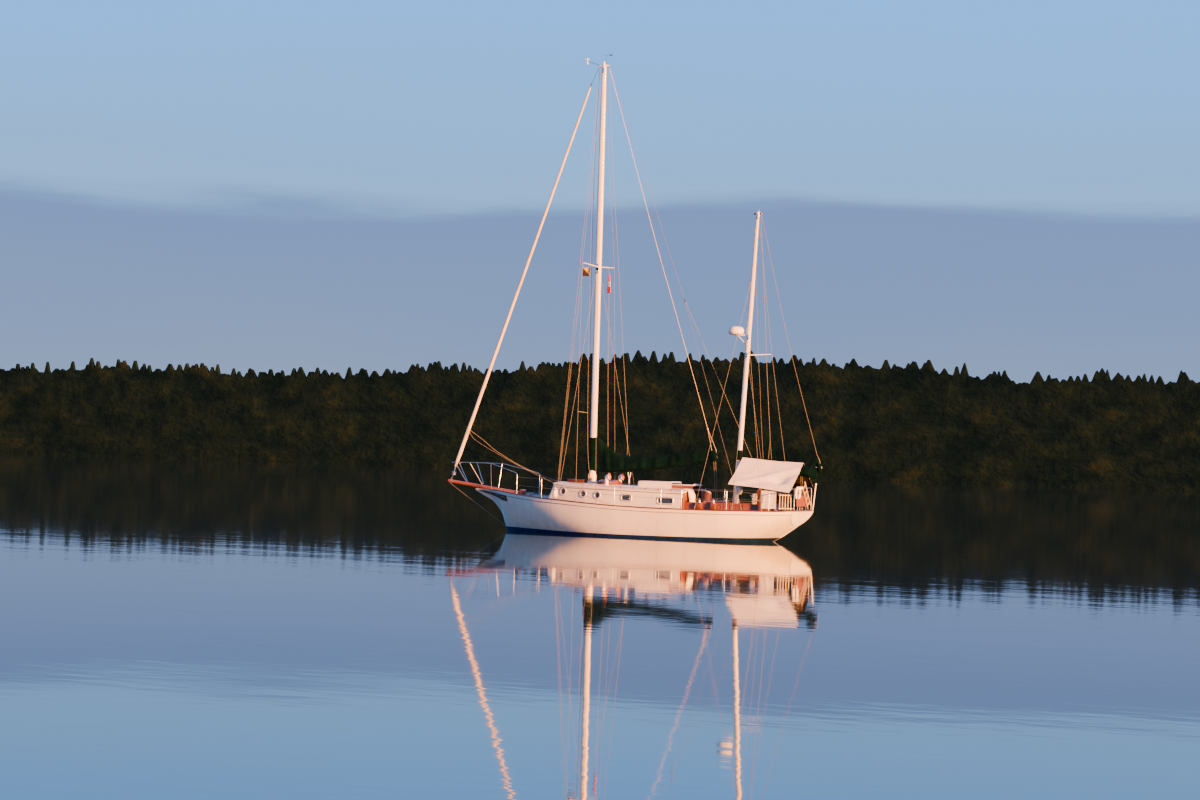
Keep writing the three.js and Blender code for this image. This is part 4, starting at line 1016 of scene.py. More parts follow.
def windows(side, word):
    frames, glass = Shape(), Shape()
    for window in WINDOWS:
        frames.loft([[(x, side * (trunk_face(x, z) + proud), z) for x, z in outline(window, out)]
                     for out, proud in RIM], loop=True)
        pane = [[(x, side * (trunk_face(x, z) - depth), z) for x, z in outline(window, 0.004)]
                for depth in (0.014, 0.02)]
        glass.loft(pane)
        for a in around(8, 0.5):
            x, z = window_point(window, a, 0.021)
            screw = (x, side * (trunk_face(x, z) + 0.021), z)
            frames.lathe([(0.0, 0.0), (0.006, 0.0), (0.005, 0.003), (0.0, 0.004)], screw,
                         (0, side, 0), 8)
    frames.make("window_frames_" + word, WINDOW_FRAME, angle=60)
    glass.make("window_glass_" + word, GLASS)
    aft = TRUNK_AFT + TRUNK_WALL
    along = [(x, side * trunk_half(x, roof_edge(x), 0.006), roof_edge(x) - ROOF_THICK - 0.004)
             for x in spread(aft, 2.92, 0.12)]
    moulding = Shape().tube(along, 0.016, 6, flat=0.6)
    foot = []
    for x in spread(aft, 3.02, 0.12):
        face = trunk_face(x, deck_z(x, 1.1)) + 0.006
        foot.append((x, side * face, deck_z(x, trunk_face(x, 1.1)) + 0.012))
    moulding.tube(foot, 0.016, 6, flat=0.7)
    moulding.make("trunk_mouldings_" + word, RAIL_TEAK, angle=70)


both(windows)


BULKHEAD = (-2.056, -2.0103)      # its aft and fore faces
BULKHEAD_MID = -2.03
SILL_Z = 1.12                    # sill of the companionway
TRIM_X, BEAD_X = -2.064, -2.057


def make_bulkhead():
    """The trunk's aft end, with the companionway in it, planked upright."""
    port = [(trunk_face(BULKHEAD_MID, z), z) for z in (0.8, 1.4)]
    port += [(y, roof_top(BULKHEAD_MID, y) - ROOF_THICK - SEAT)
             for y in spread(trunk_face(BULKHEAD_MID, 1.5), HATCH_HALF, 0.1)]
    port += [(HATCH_HALF, SILL_Z)]
    wall = port + [(-y, z) for y, z in reversed(port)]
    made = Shape().loft([[(x, y, z) for y, z in wall] for x in BULKHEAD])
    made.make("trunk_bulkhead_planked", TEAK_UP, replaces=["trunk_bulkhead"])
    trim = Shape()

    def strip(x, low, high, wide, deep, bevel=0.004):
        trim.bar((x, *low), (x, *high), wide, deep, bevel, (1, 0, 0))

    for side in (1, -1):
        head = roof_top(BULKHEAD_MID, HATCH_HALF) - ROOF_THICK
        strip(TRIM_X, (side * 0.345, 1.1), (side * 0.345, head), 0.055, 0.022)
        for y in spread(0.42, 1.12, 0.1):
            top = roof_top(BULKHEAD_MID, y) - ROOF_THICK - 0.012
            strip(BEAD_X, (side * y, 0.95), (side * y, top), 0.012, 0.009, 0.003)
        strip(TRIM_X, (side * 1.17, 0.93), (side * 1.165, 1.5), 0.05, 0.024)
    strip(TRIM_X, (-0.36, 1.1), (0.36, 1.1), 0.055, 0.026)
    trim.make("companionway_trim", RAIL_TEAK)


make_bulkhead()

# Fittings of the roof: fore and aft ends, half breadth, height of the sill above the roof
FORE_HATCH = (2.08, 2.62, 0.27, 0.06)
SKYLIGHT = (0.93, 1.46, 0.33, 0.05)
SLIDE_Z = 1.756                  # underside of the sliding hatch
HOOD_X = (-1.29, -0.06)
HOOD_HALF = 0.43
HOOD_TOP = 1.87
VENTS = [(1.05, 0.52)]


def hatch_sill(fitting):
    return roof_top((fitting[0] + fitting[1]) / 2, 0) + fitting[3] - 0.01


def ring_box(shape, x0, x1, half, thick, low, high, bevel=0.004):
    """Four boards round an opening."""
    shape.box((x0 - thick, half, low), (x1 + thick, half + thick, high), bevel)
    shape.box((x0 - thick, -half - thick, low), (x1 + thick, -half, high), bevel)
    shape.box((x0 - thick, -half, low), (x0, half, high), bevel)
    shape.box((x1, -half, low), (x1 + thick, half, high), bevel)
    return shape


def make_roof():
    rings = []
    xs = spread(TRUNK_AFT, 2.8, 0.15) + [2.84, 2.87, 2.9, 2.92, 2.933, 2.94]
    for x in xs:
        half = trunk_half(x, roof_edge(x), 0.014)
        ys = [half * s / 9 for s in range(9, -10, -1)]
        top = [(x, y, roof_top(x, y)) for y in ys[1:-1]]
        low = [(x, y, roof_top(x, y) - ROOF_THICK) for y in ys[-2:0:-1]]
        edge = roof_top(x, half)
        port = [(x, half - 0.005, edge - ROOF_THICK), (x, half, edge - ROOF_THICK + 0.006),
                (x, half, edge - 0.016), (x, half - 0.014, edge - 0.003)]
        far = [(x, -y, z) for x, y, z in reversed(port)]
        rings.append([*port, *top, *far, *low])
    roof = Shape().loft(rings).make("coachroof_slab", NONSKID, body=None)
    holes = FORE_HATCH, SKYLIGHT, (TRUNK_AFT - 0.1, HATCH_FORE, HATCH_HALF, 0)
    ways = [cutter(Shape().box((x0, -half, 1.3), (x1, half, 2.2))) for x0, x1, half, _ in holes]
    carve(roof, *ways)
    soften(roof, 40)
    settle(roof, "hull", "deckhouse_gelcoat", ["coachroof"])


make_roof()


SQUARE = ((-1, -1), (1, -1), (1, 1), (-1, 1))


def handrail(side, word):
    """Grab rail along the roof's edge on its feet: the pale rail is painted highlight of its sunlit
    top, and the dark red feet are painted shade under it.
    """
    shape, feet_in_painted_shade = Shape(), Shape()
    feet = spread(-1.54, 1.69, 0.46)
    reach = 0.985
    arch = []
    for a, b in zip(feet, feet[1:]):
        for share in (0, 0.14, 0.28, 0.5, 0.72, 0.86):
            x = a + (b - a) * share
            lift = 0.018 if share == 0 else (0.036 if share in (0.14, 0.86) else 0.05)
            arch.append((x, side * reach, roof_top(x, reach) + lift))
    arch.append((feet[-1], side * reach, roof_top(feet[-1], reach) + 0.018))
    shape.tube(smooth_path(arch, 2), 0.014, 8, flat=0.8)
    for x in feet:
        foot = vec(x, side * reach, roof_top(x, reach))
        feet_in_painted_shade.loft([[foot + vec(dx * long, dy * 0.016, h) for dx, dy in SQUARE]
                     for long, h in ((0.046, -0.008), (0.044, 0.004), (0.026, 0.02), (0.02, 0.03))])
    # Pale paint on the rail: painted highlight of its sunlit top.
    shape.make("grab_rail_" + word, SPAR, angle=60)
    # Dark red on the feet: painted shade under the rail.
    feet_in_painted_shade.make("grab_rail_feet_painted_shade_" + word, VENT_RED, slot="teak", angle=40)


both(handrail)


def make_hatches():
    x0, x1, half, _ = FORE_HATCH
    sill = hatch_sill(FORE_HATCH)
    low = roof_top(x0, half) - 0.03
    ring_box(Shape(), x0, x1, half, 0.025, low, sill).make("fore_hatch_coaming", HATCH_TEAK)
    z = sill + 0.006
    lid = ring_box(Shape(), x0 + 0.09, x1 - 0.09, half - 0.09, 0.12, z, z + 0.045, 0.006)
    lid.box((x0 + 0.08, -half + 0.08, z + 0.004), (x1 - 0.08, half - 0.08, z + 0.024), 0.002)
    lid.make("fore_hatch_frame", HATCH_TEAK, "fore_hatch", "teak", ["fore_hatch"])
    pane = Shape().box((x0 + 0.092, -half + 0.092, z + 0.0245),
                       (x1 - 0.092, half - 0.092, z + 0.034), 0.003)
    pane.make("fore_hatch_pane", GLASS, "fore_hatch", "glass")
    metalwork = Shape()
    for y in (-0.16, 0.16):
        metalwork.box((x1 + 0.005, y - 0.02, z + 0.045), (x1 + 0.028, y + 0.02, z + 0.052), 0.002)
        metalwork.tube([(x1 + 0.03, y - 0.02, z + 0.047), (x1 + 0.03, y + 0.02, z + 0.047)], 0.006)
    metalwork.tube([(x0 + 0.02, -0.05, z + 0.045), (x0 + 0.02, -0.045, z + 0.062),
                    (x0 + 0.02, 0.045, z + 0.062), (x0 + 0.02, 0.05, z + 0.045)], 0.005)
    metalwork.make("fore_hatch_metalwork", BRONZE, "fore_hatch", "bronze")


make_hatches()


def skylight_fall(y):
    """Height of the leaves' underside, off the centreline."""
    return hatch_sill(SKYLIGHT) + 0.006 + 0.065 * (1 - abs(y) / (SKYLIGHT[2] + 0.025))


def make_skylight():
    x0, x1, half, _ = SKYLIGHT
    sill = hatch_sill(SKYLIGHT)
    low = roof_top(x0, half) - 0.03
    frame_work = ring_box(Shape(), x0, x1, half, 0.025, low, sill)
    for x in (x0 - 0.025, x1):
        gable = [(0, sill - 0.01), (half + 0.024, sill - 0.01), (half + 0.024, sill),
                 (0, sill + 0.063), (-half - 0.024, sill), (-half - 0.024, sill - 0.01)]
        frame_work.loft([[(x + dx, y, z) for y, z in gable] for dx in (0, 0.025)])
    top = sill + 0.065
    frame_work.box((x0 - 0.03, -0.018, top - 0.03), (x1 + 0.03, 0.018, top + 0.036), 0.005)
    frame_work.make("skylight_coaming", TEAK)


def skylight_leaf(side, word):
    x0, x1, half, _ = SKYLIGHT
    inner, out, thick = 0.027, half + 0.045, 0.028
    body = "skylight_leaf_" + word

    def plank(shape, a, b, y_in, y_out, lift, thickness):
        corners = (y_in, 0), (y_out, 0), (y_out, thickness), (y_in, thickness)
        shape.loft([[(x, side * y, skylight_fall(y) + lift + h) for y, h in corners]
                    for x in (a, b)])

    wood_work, glass, bars = Shape(), Shape(), Shape()
    for a, b, y_in, y_out in ((x0 - 0.045, x0 + 0.035, inner, out),
                              (x1 - 0.035, x1 + 0.045, inner, out),
                              (x0 + 0.035, x1 - 0.035, inner, inner + 0.06),
                              (x0 + 0.035, x1 - 0.035, out - 0.07, out)):
        plank(wood_work, a, b, y_in, y_out, 0, thick)
    plank(glass, x0 + 0.034, x1 - 0.034, inner + 0.059, out - 0.069, 0.008, 0.008)
    for x in spread(x0 + 0.075, x1 - 0.075, 0.075):
        ends = [(x, side * y, skylight_fall(y) + thick + 0.006) for y in (inner + 0.03, out - 0.03)]
        bars.tube(ends, 0.005, 6)
    wood_work.make("skylight_leaf_frame_" + word, TEAK, body, "teak", ["skylight_" + word])
    glass.make("skylight_pane_" + word, GLASS, body, "glass")
    bars.make("skylight_bars_" + word, BRONZE, body, "bronze", angle=60)


make_skylight()
both(skylight_leaf)


def make_hood():
    """Sea hood: a low moulded box, open aft, that the sliding hatch runs into."""
    x0, x1 = HOOD_X

    def section(x, half, top, low):
        pts = [(half, low), (half, top - 0.045), (half - 0.012, top - 0.016),
               (half - 0.04, top - 0.003), (half - 0.16, top), (0.001, top)]
        return [(x, y, z) for y, z in pts] + [(x, -y, z) for y, z in reversed(pts)]

    rings = [section(x, HOOD_HALF, HOOD_TOP, 1.55) for x in spread(x0, x1 - 0.05, 0.15)]
    rings += [section(x1 - 0.02, HOOD_HALF - 0.006, HOOD_TOP - 0.008, 1.55),
              section(x1, HOOD_HALF - 0.03, HOOD_TOP - 0.035, 1.55)]
    hood = Shape().loft(rings).make("sea_hood_moulding", DECKHOUSE, body=None)
    room = [section(x, HOOD_HALF - 0.028, HOOD_TOP - 0.028, 1.5) for x in (x0 - 0.05, x1 - 0.03)]
    carve(hood, cutter(Shape().loft(room)), cutter(roof_cutter(-0.3, SEAT)))
    soften(hood, 30)
    settle(hood, "hull", "deckhouse_gelcoat", ["sea_hood"])
    slides = Shape()
    for side in (1, -1):
        slides.box((TRUNK_AFT, side * 0.35 - 0.015, 1.63),
                   (HOOD_X[1] - 0.06, side * 0.35 + 0.015, 1.749), 0.003)
    slides.make("hatch_slides", TEAK)
    lid = Shape().box((-2.08, -0.39, SLIDE_Z), (-1.29, 0.39, SLIDE_Z + 0.032), 0.009)
    lid.box((-2.08, -0.32, SLIDE_Z + 0.03), (-2.04, 0.32, SLIDE_Z + 0.062), 0.009)
    lid.make("sliding_hatch_moulding", DECKHOUSE, "sliding_hatch", "deckhouse_gelcoat",
             ["sliding_hatch"])
    trim = Shape()
    for y in (-0.3, 0, 0.3):
        trim.box((-1.98, y - 0.012, SLIDE_Z + 0.032), (-1.33, y + 0.012, SLIDE_Z + 0.037), 0.002)
    trim.make("sliding_hatch_battens", TEAK, "sliding_hatch", "teak")


make_hood()


def cowl_vents(side, word):
    """Cowl ventilators that look aft, red inside."""
    shells, throats = Shape(), Shape()
    for x, y in VENTS:
        base = roof_top(x, y)
        foot = vec(x, side * y, base)
        shells.lathe([(0.0, -0.02), (0.085, -0.02), (0.085, 0.008), (0.06, 0.016), (0.055, 0.19),
                      (0.0, 0.195)], foot, steps=20)
        neck = [foot + Vector(p) for p in ((0, 0, 0.15), (0.002, 0, 0.2), (0.0, 0, 0.24),
                                           (-0.02, 0, 0.262), (-0.045, 0, 0.272))]
        shells.tube(neck, [0.055, 0.06, 0.07, 0.076, 0.08], 20)
        mouth = foot + vec(-0.02, 0, 0.272)
        shells.lathe([(0.0, -0.055), (0.04, -0.052), (0.066, -0.035), (0.078, 0.0), (0.084, 0.03),
                      (0.1, 0.06), (0.115, 0.075), (0.113, 0.082), (0.098, 0.068), (0.078, 0.036),
                      (0.06, 0.01), (0.0, 0.0)], mouth, (-1, 0, 0.1), 24)
        throat = [(0.0, 0.004), (0.06, 0.014), (0.077, 0.04), (0.097, 0.071), (0.11, 0.083),
                  (0.094, 0.074), (0.074, 0.046), (0.058, 0.02), (0.0, 0.012)]
        throats.lathe(throat, mouth, (-1, 0, 0.1), 24)
    shells.make("cowl_vents_" + word, DOME, slot="deckhouse_gelcoat", angle=50)
    throats.make("cowl_throats_" + word, VENT_RED, slot="vent_red", angle=50)


both(cowl_vents)

# Cockpit. Columns of the coaming's plan: x, half breadth, how far x moves in with the thickness
COAMING_PLAN = [(-2.052, 1.000, 0.0), (-4.3, 0.96, 0.0), (-4.9, 0.82, 0.6), (-5.02, 0.56, 1.0)]
COAMING_TOP = 1.23
COAMING_THICK = 0.04
coaming_half = straight(COAMING_PLAN, 1)


def make_coaming():
    def plan(inset):
        port = [(x + inset * share, half - inset) for x, half, share in COAMING_PLAN]
        dense = []
        for (ax, ay), (bx, by) in zip(port, port[1:]):
            dense += [(ax + (bx - ax) * t / 6, ay + (by - ay) * t / 6) for t in range(6)]
        dense.append(port[-1])
        return dense + [(x, -y) for x, y in reversed(dense)]

    rings = []
    for outer, inner in zip(plan(0.0), plan(COAMING_THICK)):
        o, i = vec(*outer, 0.82), vec(*inner, 0.82)
        side_top, top = vec(0, 0, COAMING_TOP - 0.012 - 0.82), vec(0, 0, COAMING_TOP - 0.82)
        crown = [o.lerp(i, share) + top for share in (0.25, 0.75)]
        rings.append([o, o + side_top, *crown, i + side_top, i])
    Shape().loft(rings).make("cockpit_coaming_varnished", TEAK, replaces=["cockpit_coaming"],
                             angle=50)
    slats = Shape()
    for side in (1, -1):
        for x in spread(-2.35, -4.15, 0.11):
            half = coaming_half(x) + 0.004
            slats.box((x - 0.016, side * half - 0.005, 0.93),
                      (x + 0.016, side * half + 0.005, 1.19), 0.003)
        slats.box((-4.2, side * 0.975 - 0.005, 1.185), (-2.3, side * 0.985 + 0.006, 1.205), 0.003)
    slats.make("coaming_slats", TEAK_UP)
    grating = Shape()
    for x0, x1, half, floor in WELLS:
        for y in spread(-half + 0.03, half - 0.03, 0.06):
            grating.box((x0 + 0.01, y - 0.014, floor + 0.002),
                        (x1 - 0.01, y + 0.014, floor + 0.026), 0.002)
        for x in spread(x0 + 0.04, x1 - 0.04, 0.12):
            grating.box((x - 0.014, -half + 0.01, floor + 0.001),
                        (x + 0.014, half - 0.01, floor + 0.02), 0.002)
    grating.make("cockpit_gratings", DECK_TEAK, slot="teak")


make_coaming()


LID_X = (-5.6, -5.125)
LID_HALF = 0.345
LID_Z = (0.985, 1.013)
LID_PLANKS = 7


def make_lazarette():
    lid = Shape()
    board = 2 * LID_HALF / LID_PLANKS
    for i in range(LID_PLANKS):
        y = -LID_HALF + board * i
        lid.box((LID_X[0], y + 0.001, LID_Z[0]), (LID_X[1], y + board - 0.001, LID_Z[1]), 0.003)
    lid.make("lazarette_lid_planked", TEAK, "lazarette_lid", "teak", ["lazarette_lid"])
    pull = Shape().tube([(-5.55, -0.045, 1.013), (-5.55, -0.04, 1.028), (-5.55, 0.04, 1.028),
                         (-5.55, 0.045, 1.013)], 0.005, 6)
    for y in (-0.25, 0.25):
        pull.box((-5.2, y - 0.018, 1.013), (-5.127, y + 0.018, 1.017), 0.001)
    pull.make("lazarette_pull", BRONZE, "lazarette_lid", "bronze")
    ring_box(Shape(), -5.56, -5.15, 0.3, 0.025, 0.9, 0.979).make("lazarette_coaming", TEAK)


make_lazarette()

WHEEL = vec(-4.33, 0, 1.34)
WHEEL_RADIUS = 0.38


def make_wheel():
    rim = [WHEEL + vec(0, WHEEL_RADIUS * math.cos(a), WHEEL_RADIUS * math.sin(a))
           for a in around(48)]
    wheel = Shape().tube(rim, 0.015, 10, loop=True)
    for k in range(6):
        a = math.pi * k / 3
        away = vec(0, math.cos(a), math.sin(a))
        wheel.tube([WHEEL + away * 0.05, WHEEL + away * 0.2, WHEEL + away * 0.376],
                   [0.013, 0.011, 0.012], 10)
    wheel.lathe([(0.0, -0.038), (0.045, -0.038), (0.06, -0.026), (0.06, 0.024), (0.035, 0.036),
                 (0.0, 0.038)], WHEEL, (1, 0, 0), 24)
    wheel.make("wheel_rim_and_spokes", TEAK, "steering_wheel", "teak", ["steering_wheel"], angle=50)
    hub = WHEEL + vec(-0.03, 0, 0)
    nut = Shape().lathe([(0.0, 0.0), (0.03, 0.0), (0.032, 0.012), (0.02, 0.022), (0.0, 0.024)], hub,
                        (-1, 0, 0), 12)
    nut.make("wheel_hub_cap", BRONZE, "steering_wheel", "bronze")
    x = WHEEL.x + 0.19
    stand = Shape().lathe([(0.0, 0.4803), (0.14, 0.4803), (0.135, 0.5), (0.096, 0.52), (0.088, 0.9),
                           (0.078, 1.4), (0.105, 1.425), (0.105, 1.445), (0.092, 1.5),
                           (0.07, 1.552), (0.04, 1.56), (0.0, 1.56)], (x, 0, 0), steps=28)
    stand.lathe([(0.0, 0.045), (0.038, 0.045), (0.038, 0.12), (0.0, 0.13)], WHEEL, (1, 0, 0), 16)
    stand.make("pedestal_casting", DECKHOUSE, replaces=["pedestal"], angle=50)
    guard = smooth_path([(x, 0.16, 0.481), (x, 0.16, 1.3), (x, 0.13, 1.42), (x + 0.12, 0.06, 1.5),
                         (x + 0.12, -0.06, 1.5), (x, -0.13, 1.42), (x, -0.16, 1.3),
                         (x, -0.16, 0.481)], 5)
    Shape().tube(guard, 0.012, 10).make("pedestal_guard", STEEL, angle=60)


make_wheel()


def make_rudder():
    # Columns: height up the axis, chord aft of it, rise of the ring towards its trailing edge
    blades = [(0.07, 0.52, 0.45), (0.42, 0.66, 0.3), (0.95, 0.7, 0.25), (1.33, 0.64, 0.3),
              (1.58, 0.56, 0.4)]
    chord, rise = table_curve(blades, 1), table_curve(blades, 2)
    rings = []
    for s in spread(0.07, 1.58, 0.08):
        c = chord(s)
        profile = [(-0.028, 0.008), (-0.02, 0.02), (0.0, 0.028), (0.04, 0.032), (0.3 * c, 0.031),
                   (0.6 * c, 0.024), (0.85 * c, 0.014), (c, 0.005)]
        section = profile + [(d, -y) for d, y in reversed(profile)]
        rings.append([rudder_point(s + rise(s) * max(d, 0), d) + vec(0, y, 0) for d, y in section])
    blade = Shape().loft(rings).tube([rudder_point(1.5), rudder_point(1.96)], 0.03, 16)
    blade.make("rudder_blade", HULL_PAINT, "rudder", "hull_paint", ["rudder"], angle=50)


make_rudder()


def make_propeller():
    middle = vec(PROP_X, 0, PROP_Z)
    shape = Shape().lathe([(0.0, -0.07), (0.042, -0.07), (0.042, 0.06), (0.034, 0.085),
                           (0.014, 0.11), (0.0, 0.112)], middle, (-1, 0, 0), 24)
    # Columns: radius, chord, pitch angle in degrees
    sections = [(0.03, 0.06, 58), (0.06, 0.09, 50), (0.09, 0.115, 44), (0.13, 0.126, 37),
                (0.17, 0.125, 32), (0.205, 0.103, 29), (0.228, 0.07, 27), (0.235, 0.04, 26)]
    for turn in (0, 120, 240):
        spin = Matrix.Rotation(math.radians(turn), 3, "X")
        rings = []
        for r, chord, pitch in sections:
            sin, cos = math.sin(math.radians(pitch)), math.cos(math.radians(pitch))
            edge = [(-0.5, 0.0), (-0.2, -0.5), (0.2, -0.5), (0.5, 0.0), (0.2, 0.5), (-0.2, 0.5)]
            thick = 0.01 - 0.006 * r / 0.235
            blade = [(chord * u * sin + thick * t * cos, chord * u * cos - thick * t * sin, r)
                     for u, t in edge]
            rings.append([middle + spin @ Vector(p) for p in blade])
        shape.loft(rings)
    shape.make("propeller_blades", BRONZE, "propeller", "bronze", ["propeller"], angle=50)


make_propeller()

# Masts, as rings up the spar: height, half length fore and aft, half breadth
MAIN_X = 1.85
MAIN_TOP = 16.02
MAIN_SPREADER_Z = 9.1
MAIN_RINGS = [(1.8, 0.115, 0.078), (11.5, 0.112, 0.075), (14.5, 0.096, 0.062),
              (16.02, 0.082, 0.052)]
MIZZEN_RINGS = [(0.945, 0.085, 0.06), (7.6, 0.083, 0.058), (10.9, 0.06, 0.042)]
MIZZEN_SPREADER_Z = 6.15


MIZZEN_RAKE = 0.0533
MAIN_PIVOT, MIZZEN_PIVOT = (1.70, 2.225), (-3.66, 2.37)      # x and z of the booms' pivots


def mizzen_x(z):
    return -3.48 - (z - 1.33) * MIZZEN_RAKE


def spar_rings(rings, centre, step=0.5):
    wide, half = straight(rings, 1), straight(rings, 2)
    return [[(centre(z) + wide(z) * math.cos(a), half(z) * math.sin(a), z) for a in around(24)]
            for z in spread(rings[0][0], rings[-1][0], step)]


def gooseneck(shape, pivot, half, fore, past, rake=0.0):
    """A pin through a boom's end of that half height, between two lugs that run forward."""
    x, z = pivot
    for s in (-1, 1):
        middle = z + s * (half + 0.014)
        shape.box((x - 0.014, -0.016, middle - 0.006), (fore, 0.016, middle + 0.006), 0.002)
    reach = half + past
    shape.tube([(x + rake * reach, 0, z - reach), (x - rake * reach, 0, z + reach)], 0.009, 10)
    return shape


def masthead():
    """Light, wind vane and the arm with the wind cups."""
    def head(x, high):
        return vec(MAIN_X + x, 0, MAIN_TOP + high)

    lens = [(0.0, -0.03), (0.036, -0.03), (0.036, 0.022), (0.032, 0.026),
            (0.032, 0.088), (0.034, 0.092), (0.03, 0.11), (0.0, 0.11)]
    lamp = Shape().lathe(lens, head(0, 0), steps=24)
    lamp.make("masthead_light", DOME, slot="spar_paint", angle=50)
    work = Shape().tube([head(VANE_X, -0.03), head(VANE_X, VANE_HIGH + 0.012)], [0.007, 0.005], 10)
    work.tube([head(0.06, -0.04), head(CUPS_X, 0.15)], [0.009, 0.007], 10)
    work.tube([head(VANE_X + 0.11, VANE_HIGH), head(VANE_X - 0.26, VANE_HIGH)], 0.004, 8)
    work.lathe([(0.0, -0.012), (0.012, -0.008), (0.014, 0.002), (0.008, 0.009), (0.0, 0.011)],
               head(VANE_X, VANE_HIGH), steps=16)
    fin = [(-0.285, 0.01), (-0.2, 0.01), (-0.175, -0.01), (-0.275, -0.046), (-0.285, -0.044)]
    work.loft([[head(x, VANE_HIGH + z) + vec(0, y, 0) for x, z in fin] for y in (-0.0015, 0.0015)])
    work.make("wind_vane", BLACK, slot="stainless", angle=50)
    cups = Shape().lathe([(0.0, 0.04), (0.024, 0.04), (0.03, 0.052), (0.028, 0.075), (0.014, 0.15),
                          (0.011, 0.24), (0.006, 0.265), (0.0, 0.265)], head(CUPS_X, 0), steps=20)
    for k in range(3):
        a = 2 * math.pi * k / 3 + 0.4
        away = vec(math.cos(a), math.sin(a), 0)
        cups.tube([head(CUPS_X, 0.215), head(CUPS_X, 0.215) + away * 0.06], 0.003, 6)
        cup = [(0.0, -0.012), (0.014, -0.004), (0.018, 0.012), (0.016, 0.012), (0.012, -0.001),
               (0.0, -0.007)]
        cups.lathe(cup, head(CUPS_X, 0.215) + away * 0.068, away.cross(vec(0, 0, 1)), 14)
    cups.make("wind_cups", DOME, slot="spar_paint", angle=50)


PIN_Z = 2.049                    # the pins that the coiled halyards hang on
VANE_X, VANE_HIGH = -0.075, 0.335
CUPS_X = 0.64


def make_main_mast():
    mast = Shape().loft(spar_rings(MAIN_RINGS, lambda z: MAIN_X))
    for side in (1, -1):
        root = (MAIN_X, side * 0.05, MAIN_SPREADER_Z)
        tip = (MAIN_X, side * 1.24, MAIN_SPREADER_Z + 0.06)
        mast.tube([root, (MAIN_X, side * 0.6, MAIN_SPREADER_Z + 0.03), tip], [0.034, 0.03, 0.02],
                  12, flat=0.6)
    mast.box((MAIN_X - 0.19, -0.028, MAIN_TOP - 0.06), (MAIN_X + 0.17, 0.028, MAIN_TOP - 0.012),
             0.008)
    mast.make("main_mast_spar", SPAR, replaces=["main_mast"], angle=50)
    masthead()
    main_mast_fittings()


def main_mast_fittings():
    """Halyard pins, the mast's plinth, its track, tangs and sheaves, and the gooseneck."""
    pins = Shape()
    for side in (1, -1):
        pins.tube([(MAIN_X, side * 0.06, PIN_Z), (MAIN_X, side * 0.228, PIN_Z),
                   (MAIN_X, side * 0.236, PIN_Z + 0.004), (MAIN_X, side * 0.246, PIN_Z)],
                  [0.01, 0.01, 0.013, 0.009], 12)
    pins.make("halyard_pins", BRONZE, angle=60)
    step = Shape().lathe([(0.0, 1.6), (0.19, 1.63), (0.188, 1.7), (0.176, 1.78), (0.165, 1.7997),
                          (0.0, 1.7997)], (MAIN_X, 0, 0), steps=28)
    step.make("mast_step_plinth", DECKHOUSE, angle=50)
    metal_work = Shape()
    track = [(MAIN_X - 0.118, 0, 3.3), (MAIN_X - 0.115, 0, 11.5), (MAIN_X - 0.1, 0, 14.5),
             (MAIN_X - 0.09, 0, 15.6)]
    metal_work.tube(track, 0.01, 6)
    for z, high in ((MAIN_SPREADER_Z - 0.13, 0.1), (MAIN_TOP - 0.2, 0.09), (MAIN_SPREADER_Z, 0.11)):
        for side in (1, -1):
            metal_work.box((MAIN_X - 0.04, side * 0.074 - 0.006, z - high),
                           (MAIN_X + 0.04, side * 0.074 + 0.006, z + high), 0.003)
    for side in (1, -1):
        metal_work.tube([(MAIN_X, side * 1.21, MAIN_SPREADER_Z + 0.058),
                         (MAIN_X, side * 1.252, MAIN_SPREADER_Z + 0.06)], 0.024, 12)
    for x in (MAIN_X - 0.164, MAIN_X + 0.144):
        metal_work.lathe([(0.0, -0.012), (0.045, -0.012), (0.036, 0.0), (0.045, 0.012),
                          (0.0, 0.012)], (x, 0, MAIN_TOP - 0.055), (0, 1, 0), 20)
    metal_work.make("main_mast_metalwork", STEEL, angle=50)
    pin = gooseneck(Shape(), MAIN_PIVOT, 0.062, MAIN_X - 0.09, 0.026)
    pin.make("main_gooseneck", GALVANISED, angle=50)


def make_mizzen_mast():
    mast = Shape().loft(spar_rings(MIZZEN_RINGS, mizzen_x))
    root = mizzen_x(MIZZEN_SPREADER_Z)
    for side in (1, -1):
        ends = [vec(root, side * 0.04, MIZZEN_SPREADER_Z),
                vec(root - 0.49, side * 0.93, MIZZEN_SPREADER_Z + 0.07)]
        mast.tube([ends[0], ends[0].lerp(ends[1], 0.5), ends[1]], [0.028, 0.025, 0.017], 12,
                  flat=0.6)
    raked_x = mizzen_x(6.8)
    mast.box((root - 0.02, -0.03, 6.79), (raked_x + 0.45, 0.03, 6.83), 0.008)
    mast.box((raked_x + 0.33, -0.13, 6.816), (raked_x + 0.57, 0.13, 6.83), 0.004)
    mast.tube([(raked_x + 0.04, 0, 6.46), (raked_x + 0.39, 0, 6.8)], 0.014, 10)
    mast.make("mizzen_mast_spar", SPAR, replaces=["mizzen_mast"], angle=50)
    mizzen_fittings(root)


